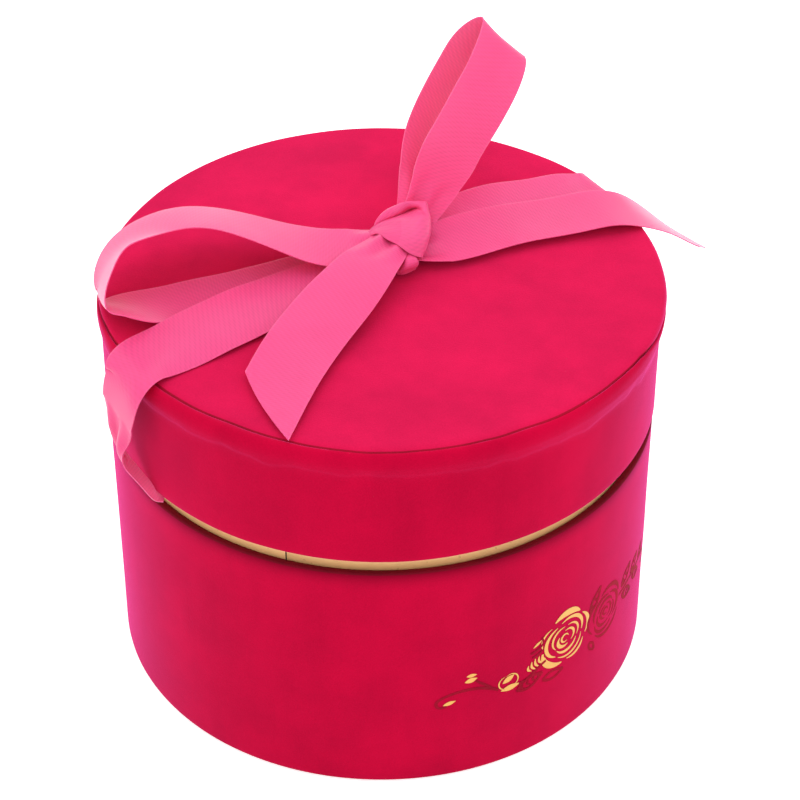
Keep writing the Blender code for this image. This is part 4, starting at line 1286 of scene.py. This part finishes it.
class FLOWERBOX_OT_gold_neck(bpy.types.Operator):
    """Wrap the neck in gold card, whose ends lap at one joint"""

    bl_idname = "flowerbox.gold_neck"
    bl_label = "Gold Neck"

    turn_in: length_setting("Turn-in", "Card folded over inside the neck", 12.0 * MM)
    corner: length_setting("Edge", "Rounding of the folded edge", 0.7 * MM)
    lap: length_setting("Lap", "Step where the card's ends lap", 0.32 * MM)
    lap_edge: length_setting("Lap edge", "Half the width of the cut edge that shows", 0.18 * MM)

    def execute(self, context):
        settings = context.scene.flower_box
        sizes = settings.sizes
        joint = sizes.card_joint

        def section(angle):
            step = self.lap * ((angle - joint) % math.tau / math.tau - 1.0)
            inner_edge = (CARD_INNER_RADIUS, CARD_TOP - self.turn_in)
            inner_rim = (CARD_INNER_RADIUS, CARD_TOP)
            outer_rim = (CARD_RADIUS, CARD_TOP)
            outer_edge = (CARD_RADIUS, CARD_BOTTOM)
            points = [inner_edge]
            points += rounded_corner(inner_rim, inner_edge, outer_rim, self.corner, CORNER_STEPS)
            points += rounded_corner(outer_rim, inner_rim, outer_edge, self.corner, CORNER_STEPS)
            points += [(CARD_RADIUS, BODY_TOP + LEDGE_ROW), outer_edge]
            return [(r + (step if r > CARD_INNER_RADIUS + self.corner else 0.0), z)
                    for r, z in points]

        sliver = self.lap_edge / CARD_RADIUS
        obj = turned("gold_neck_card", section,
                     ring_angles(sizes.around, (joint - sliver, joint + sliver)))
        give_thickness(obj, CARD, -1, even=True)
        gold = material_once("gold_neck", gold_material, settings.colours.gold,
                             roughness=0.32, grain=3.0 * MM, metal=0.15)
        finish_piece(obj, gold, "body", ["neck_gold_card"], 30)
        edge = material_once("card_edge", fibre_material,
                             shades(settings.colours.board, CARD_EDGE_LIGHTNESS),
                             roughness=0.8, fibre_size=2.0 * MM, bump=0.02 * MM)
        finish_faces(obj, edge, [
            face for face in obj.data.polygons
            if abs((math.atan2(face.center.y, face.center.x) - joint + math.pi) % math.tau
                   - math.pi) < sliver])
        return {"FINISHED"}


class FLOWERBOX_OT_lid_velvet(bpy.types.Operator):
    """Cover the padded lid: foam, top velvet and the side velvet lapped over it"""

    bl_idname = "flowerbox.lid_velvet"
    bl_label = "Lid Velvet"

    def execute(self, context):
        settings = context.scene.flower_box
        colours = settings.colours
        sizes = settings.sizes
        drop = sizes.crown_drop
        angles = ring_angles(sizes.around)

        top = turned("velvet_lid_top", lambda angle: top_velvet_section(angle, drop), angles)
        sheet_faces = len(top.data.polygons)
        give_thickness(top, VELVET, -1)
        # Painted light: the top velvet takes the lighter, pinker top colour in place of its stronger
        # sheen and overhead light
        top_sheen_velvet = material_once("velvet_top", velvet_material, settings, colours.velvet_top)
        finish_piece(top, top_sheen_velvet, "lid", ["lid_top_velvet"])
        # Painted shade: the last rows of the top velvet, down in the seam's groove, get a darker
        # flat velvet
        seam = material_once("seam_velvet", pressed_and_shade_material, settings, SEAM_SHADE_LIGHTNESS)
        seam_shade_faces = SEAM_SHADE_ROWS * len(angles)
        finish_faces(top, seam, top.data.polygons[sheet_faces - seam_shade_faces:sheet_faces])

        side = turned("velvet_lid_side",
                      lambda angle: side_velvet_section(angle, drop, sizes.velvet_ripple), angles)
        give_thickness(side, VELVET, -1)
        velvet = material_once("velvet", velvet_material, settings, colours.velvet)
        finish_piece(side, velvet, "lid", ["lid_side_velvet"])

        gap = VELVET + GLUE_GAP
        rim = LID_RADIUS - gap - SEAM_GROOVE
        rim_top = LID_TOP - drop - gap - SEAM_GROOVE
        foam_section = [
            (0.0, LID_TOP - gap), (CROWN_START, LID_TOP - gap),
            (rim - FOAM_RAMP[0], LID_TOP - drop - gap), (rim - FOAM_RAMP[1], rim_top),
            (rim - FOAM_CHAMFER, rim_top), (rim, rim_top - FOAM_CHAMFER), (rim, FOAM_BOTTOM),
            (0.0, FOAM_BOTTOM)]
        pad = turned("lid_padding", lambda angle: foam_section, angles)
        foam = material_once("lid_foam", fibre_material, colours.foam, roughness=0.95,
                             fibre_size=0.5 * MM, bump=0.1 * MM)
        finish_piece(pad, foam, "lid", ["lid_foam_pad"])
        return {"FINISHED"}


class FLOWERBOX_OT_ribbon(bpy.types.Operator):
    """Lay the two bands, the two loops and the two tails of the bow"""

    bl_idname = "flowerbox.ribbon"
    bl_label = "Ribbon"

    def execute(self, context):
        settings = context.scene.flower_box
        sizes = settings.sizes
        satin = material_once("satin", satin_material, settings)
        over_rim = ("lid_top_velvet", "lid_side_velvet")
        for name, held, seed, options in (
                ("band_left", "stretched", 2.0,
                 {"rests_on": over_rim, "ripple": BAND_LEFT_RIPPLE, "curl": BAND_LEFT_CURL}),
                ("band_right", "stretched", 3.0,
                 {"rests_on": over_rim,
                  "corners": tuck(BAND_RIGHT_TUCK_ANGLE, sizes.ribbon_thickness),
                  "outward": round_axis(1.0, BAND_RIGHT_TUCK_ANGLE, 0.0)[:2]}),
                ("loop_upper", "folded", 4.0, {"rests_on": ("ribbon_knot",)}),
                ("loop_left", "folded", 5.0, {}),
                ("tail_front", "draped", 6.0, {"cut_share": TAIL_FRONT_CUT_SHARE}),
                ("tail_right", "draped", 7.0, {"cut_share": TAIL_RIGHT_CUT_SHARE})):
            ribbon_strip(name, satin, sizes, held, seed, **options)
        return {"FINISHED"}


class FLOWERBOX_OT_knot(bpy.types.Operator):
    """Tie the knot: a gathered lump and the fan of ribbon wrapped over it"""

    bl_idname = "flowerbox.knot"
    bl_label = "Knot"

    def execute(self, context):
        settings = context.scene.flower_box
        sizes = settings.sizes
        satin = material_once("satin", satin_material, settings)
        pole = [[(0.0, 0.0)]]
        shares = [j / KNOT_RINGS - 0.5 for j in range(1, KNOT_RINGS)]
        turns = [i / KNOT_TURNS for i in range(KNOT_TURNS)]
        grid = [[knot_point(math.pi * share, math.tau * turn) for turn in turns]
                for share in shares]
        grid = [[knot_point(-0.5 * math.pi, 0.0)], *grid, [knot_point(0.5 * math.pi, 0.0)]]
        cloth = [[(share * KNOT_CLOTH[0], turn * KNOT_CLOTH[1]) for turn in turns]
                 for share in shares]
        lump = mesh_from_grid("satin_knot", grid, ring=True, uv=pole + cloth + pole)
        finish_piece(lump, satin, "lid", ["ribbon_knot"], SATIN_SMOOTH_ANGLE)

        for name, columns, flat in (
                ("satin_knot_wrap", KNOT_WRAP, (sizes.ribbon_width, KNOT_WRAP_LENGTH)),
                ("satin_knot_fold", KNOT_FOLD, KNOT_FOLD_FLAT)):
            grid, cloth = smooth_sheet(columns)
            sheet = mesh_from_grid(name, grid, uv=cloth)
            give_thickness(sheet, sizes.ribbon_thickness, 0)
            finish_piece(sheet, satin, "lid", ["ribbon_knot"], SATIN_SMOOTH_ANGLE)
        return {"FINISHED"}


class FLOWERBOX_OT_ornament(bpy.types.Operator):
    """Stamp the garland on the body, part in gold foil and part pressed without foil"""

    bl_idname = "flowerbox.ornament"
    bl_label = "Stamped Garland"

    def execute(self, context):
        settings = context.scene.flower_box
        gold = material_once("gold_foil", gold_material, settings.colours.foil,
                             roughness=0.40, grain=0.8 * MM, metal=1.0)
        flat = material_once("pressed_velvet", pressed_and_shade_material, settings, PRESSED_LIGHTNESS)
        for name, strokes, lift, thickness, material, slot in (
                ("gold_foil_garland", foil_strokes(), FOIL_LIFT, FOIL_THICKNESS, gold,
                 "gold_card"),
                ("pressed_garland", pressed_strokes(), PRESS_LIFT, PRESS_THICKNESS, flat,
                 "pink_velvet")):
            garland = stroke_mesh(name, strokes, lift, settings.sizes.rose_height)
            give_thickness(garland, thickness, -1)
            finish_piece(garland, material, "body", [])
        return {"FINISHED"}


class FLOWERBOX_OT_stage(bpy.types.Operator):
    """Set the floor, the lamps, the room light and the camera"""

    bl_idname = "flowerbox.stage"
    bl_label = "Stage"

    def execute(self, context):
        scene = context.scene
        stage = scene.flower_box.stage
        scene.view_settings.view_transform = "Standard"

        bpy.ops.object.select_all(action="DESELECT")
        bpy.ops.mesh.primitive_plane_add(size=FLOOR_SIZE, location=(0.0, 0.0, -FLOOR_GAP))
        floor = context.object
        floor.name = "floor"
        bpy.ops.object.transform_apply(location=True, rotation=False, scale=False)
        floor.data.materials.append(floor_material("white_floor"))

        scene.world = bpy.data.worlds.new("room")
        scene.world.use_nodes = True
        tree = scene.world.node_tree
        rays = put(tree, "ShaderNodeLightPath").outputs
        seen = sums(tree, "MAXIMUM", rays["Is Camera Ray"], rays["Is Glossy Ray"])
        seen = sums(tree, "MAXIMUM", seen, rays["Is Transmission Ray"])
        fill(tree, tree.nodes["Background"], Color=(1.0, 1.0, 1.0, 1.0),
             Strength=spread_over(tree, seen, 0.0, 1.0, stage.ambient, 1.0))

        for name, place, size, power in (
                ("overhead_lamp", (-0.15, 0.30, 1.05), 1.2, stage.overhead_lamp),
                ("front_lamp", (0.25, -1.0, 0.95), 0.9, stage.front_lamp),
                ("left_lamp", (-1.15, -0.15, 0.45), 0.9, stage.left_lamp),
                ("right_lamp", (1.15, -0.10, 0.45), 0.9, stage.right_lamp),
                ("back_lamp", (0.10, 1.15, 0.60), 0.8, stage.back_lamp)):
            bpy.ops.object.light_add(type="AREA", location=place)
            lamp = context.object
            lamp.name = name
            lamp.data.size = size
            lamp.data.energy = power
            aim = LAMP_AIM - Vector(place)
            lamp.rotation_euler = aim.to_track_quat("-Z", "Y").to_euler()

        bpy.ops.object.camera_add(location=stage.camera_place,
                                  rotation=(0.5 * math.pi - stage.camera_pitch, 0.0, 0.0))
        camera = context.object
        camera.name = "photo_camera"
        camera.data.lens = stage.lens
        camera.data.sensor_width = SENSOR_WIDTH
        camera.data.clip_start = CAMERA_NEAREST
        scene.camera = camera
        return {"FINISHED"}


OPERATORS = (
    FLOWERBOX_OT_boards,
    FLOWERBOX_OT_body_velvet,
    FLOWERBOX_OT_gold_neck,
    FLOWERBOX_OT_lid_velvet,
    FLOWERBOX_OT_ribbon,
    FLOWERBOX_OT_knot,
    FLOWERBOX_OT_ornament,
    FLOWERBOX_OT_stage,
)


class FLOWERBOX_PT_panel(bpy.types.Panel):
    """The box's pieces and settings"""

    bl_idname = "FLOWERBOX_PT_panel"
    bl_label = "Velvet Flower Box"
    bl_space_type = "VIEW_3D"
    bl_region_type = "UI"
    bl_category = "Flower Box"

    def draw(self, context):
        layout = self.layout
        for operator in OPERATORS:
            layout.operator(operator.bl_idname)
        settings = context.scene.flower_box
        for group in (settings.colours, settings.sizes, settings.stage):
            column = layout.column()
            for key in group.__annotations__:
                column.prop(group, key)


CLASSES = (FlowerBoxColours, FlowerBoxSizes, FlowerBoxStage, FlowerBoxSettings,
           *OPERATORS, FLOWERBOX_PT_panel)


def register():
    for cls in CLASSES:
        bpy.utils.register_class(cls)
    bpy.types.Scene.flower_box = PointerProperty(type=FlowerBoxSettings)


def unregister():
    del bpy.types.Scene.flower_box
    for cls in reversed(CLASSES):
        bpy.utils.unregister_class(cls)


def main():
    """Build every piece."""
    register()
    bpy.ops.flowerbox.boards()
    bpy.ops.flowerbox.body_velvet()
    bpy.ops.flowerbox.gold_neck()
    bpy.ops.flowerbox.lid_velvet()
    bpy.ops.flowerbox.ribbon()
    bpy.ops.flowerbox.knot()
    bpy.ops.flowerbox.ornament()
    bpy.ops.flowerbox.stage()


if __name__ == "__main__":
    main()
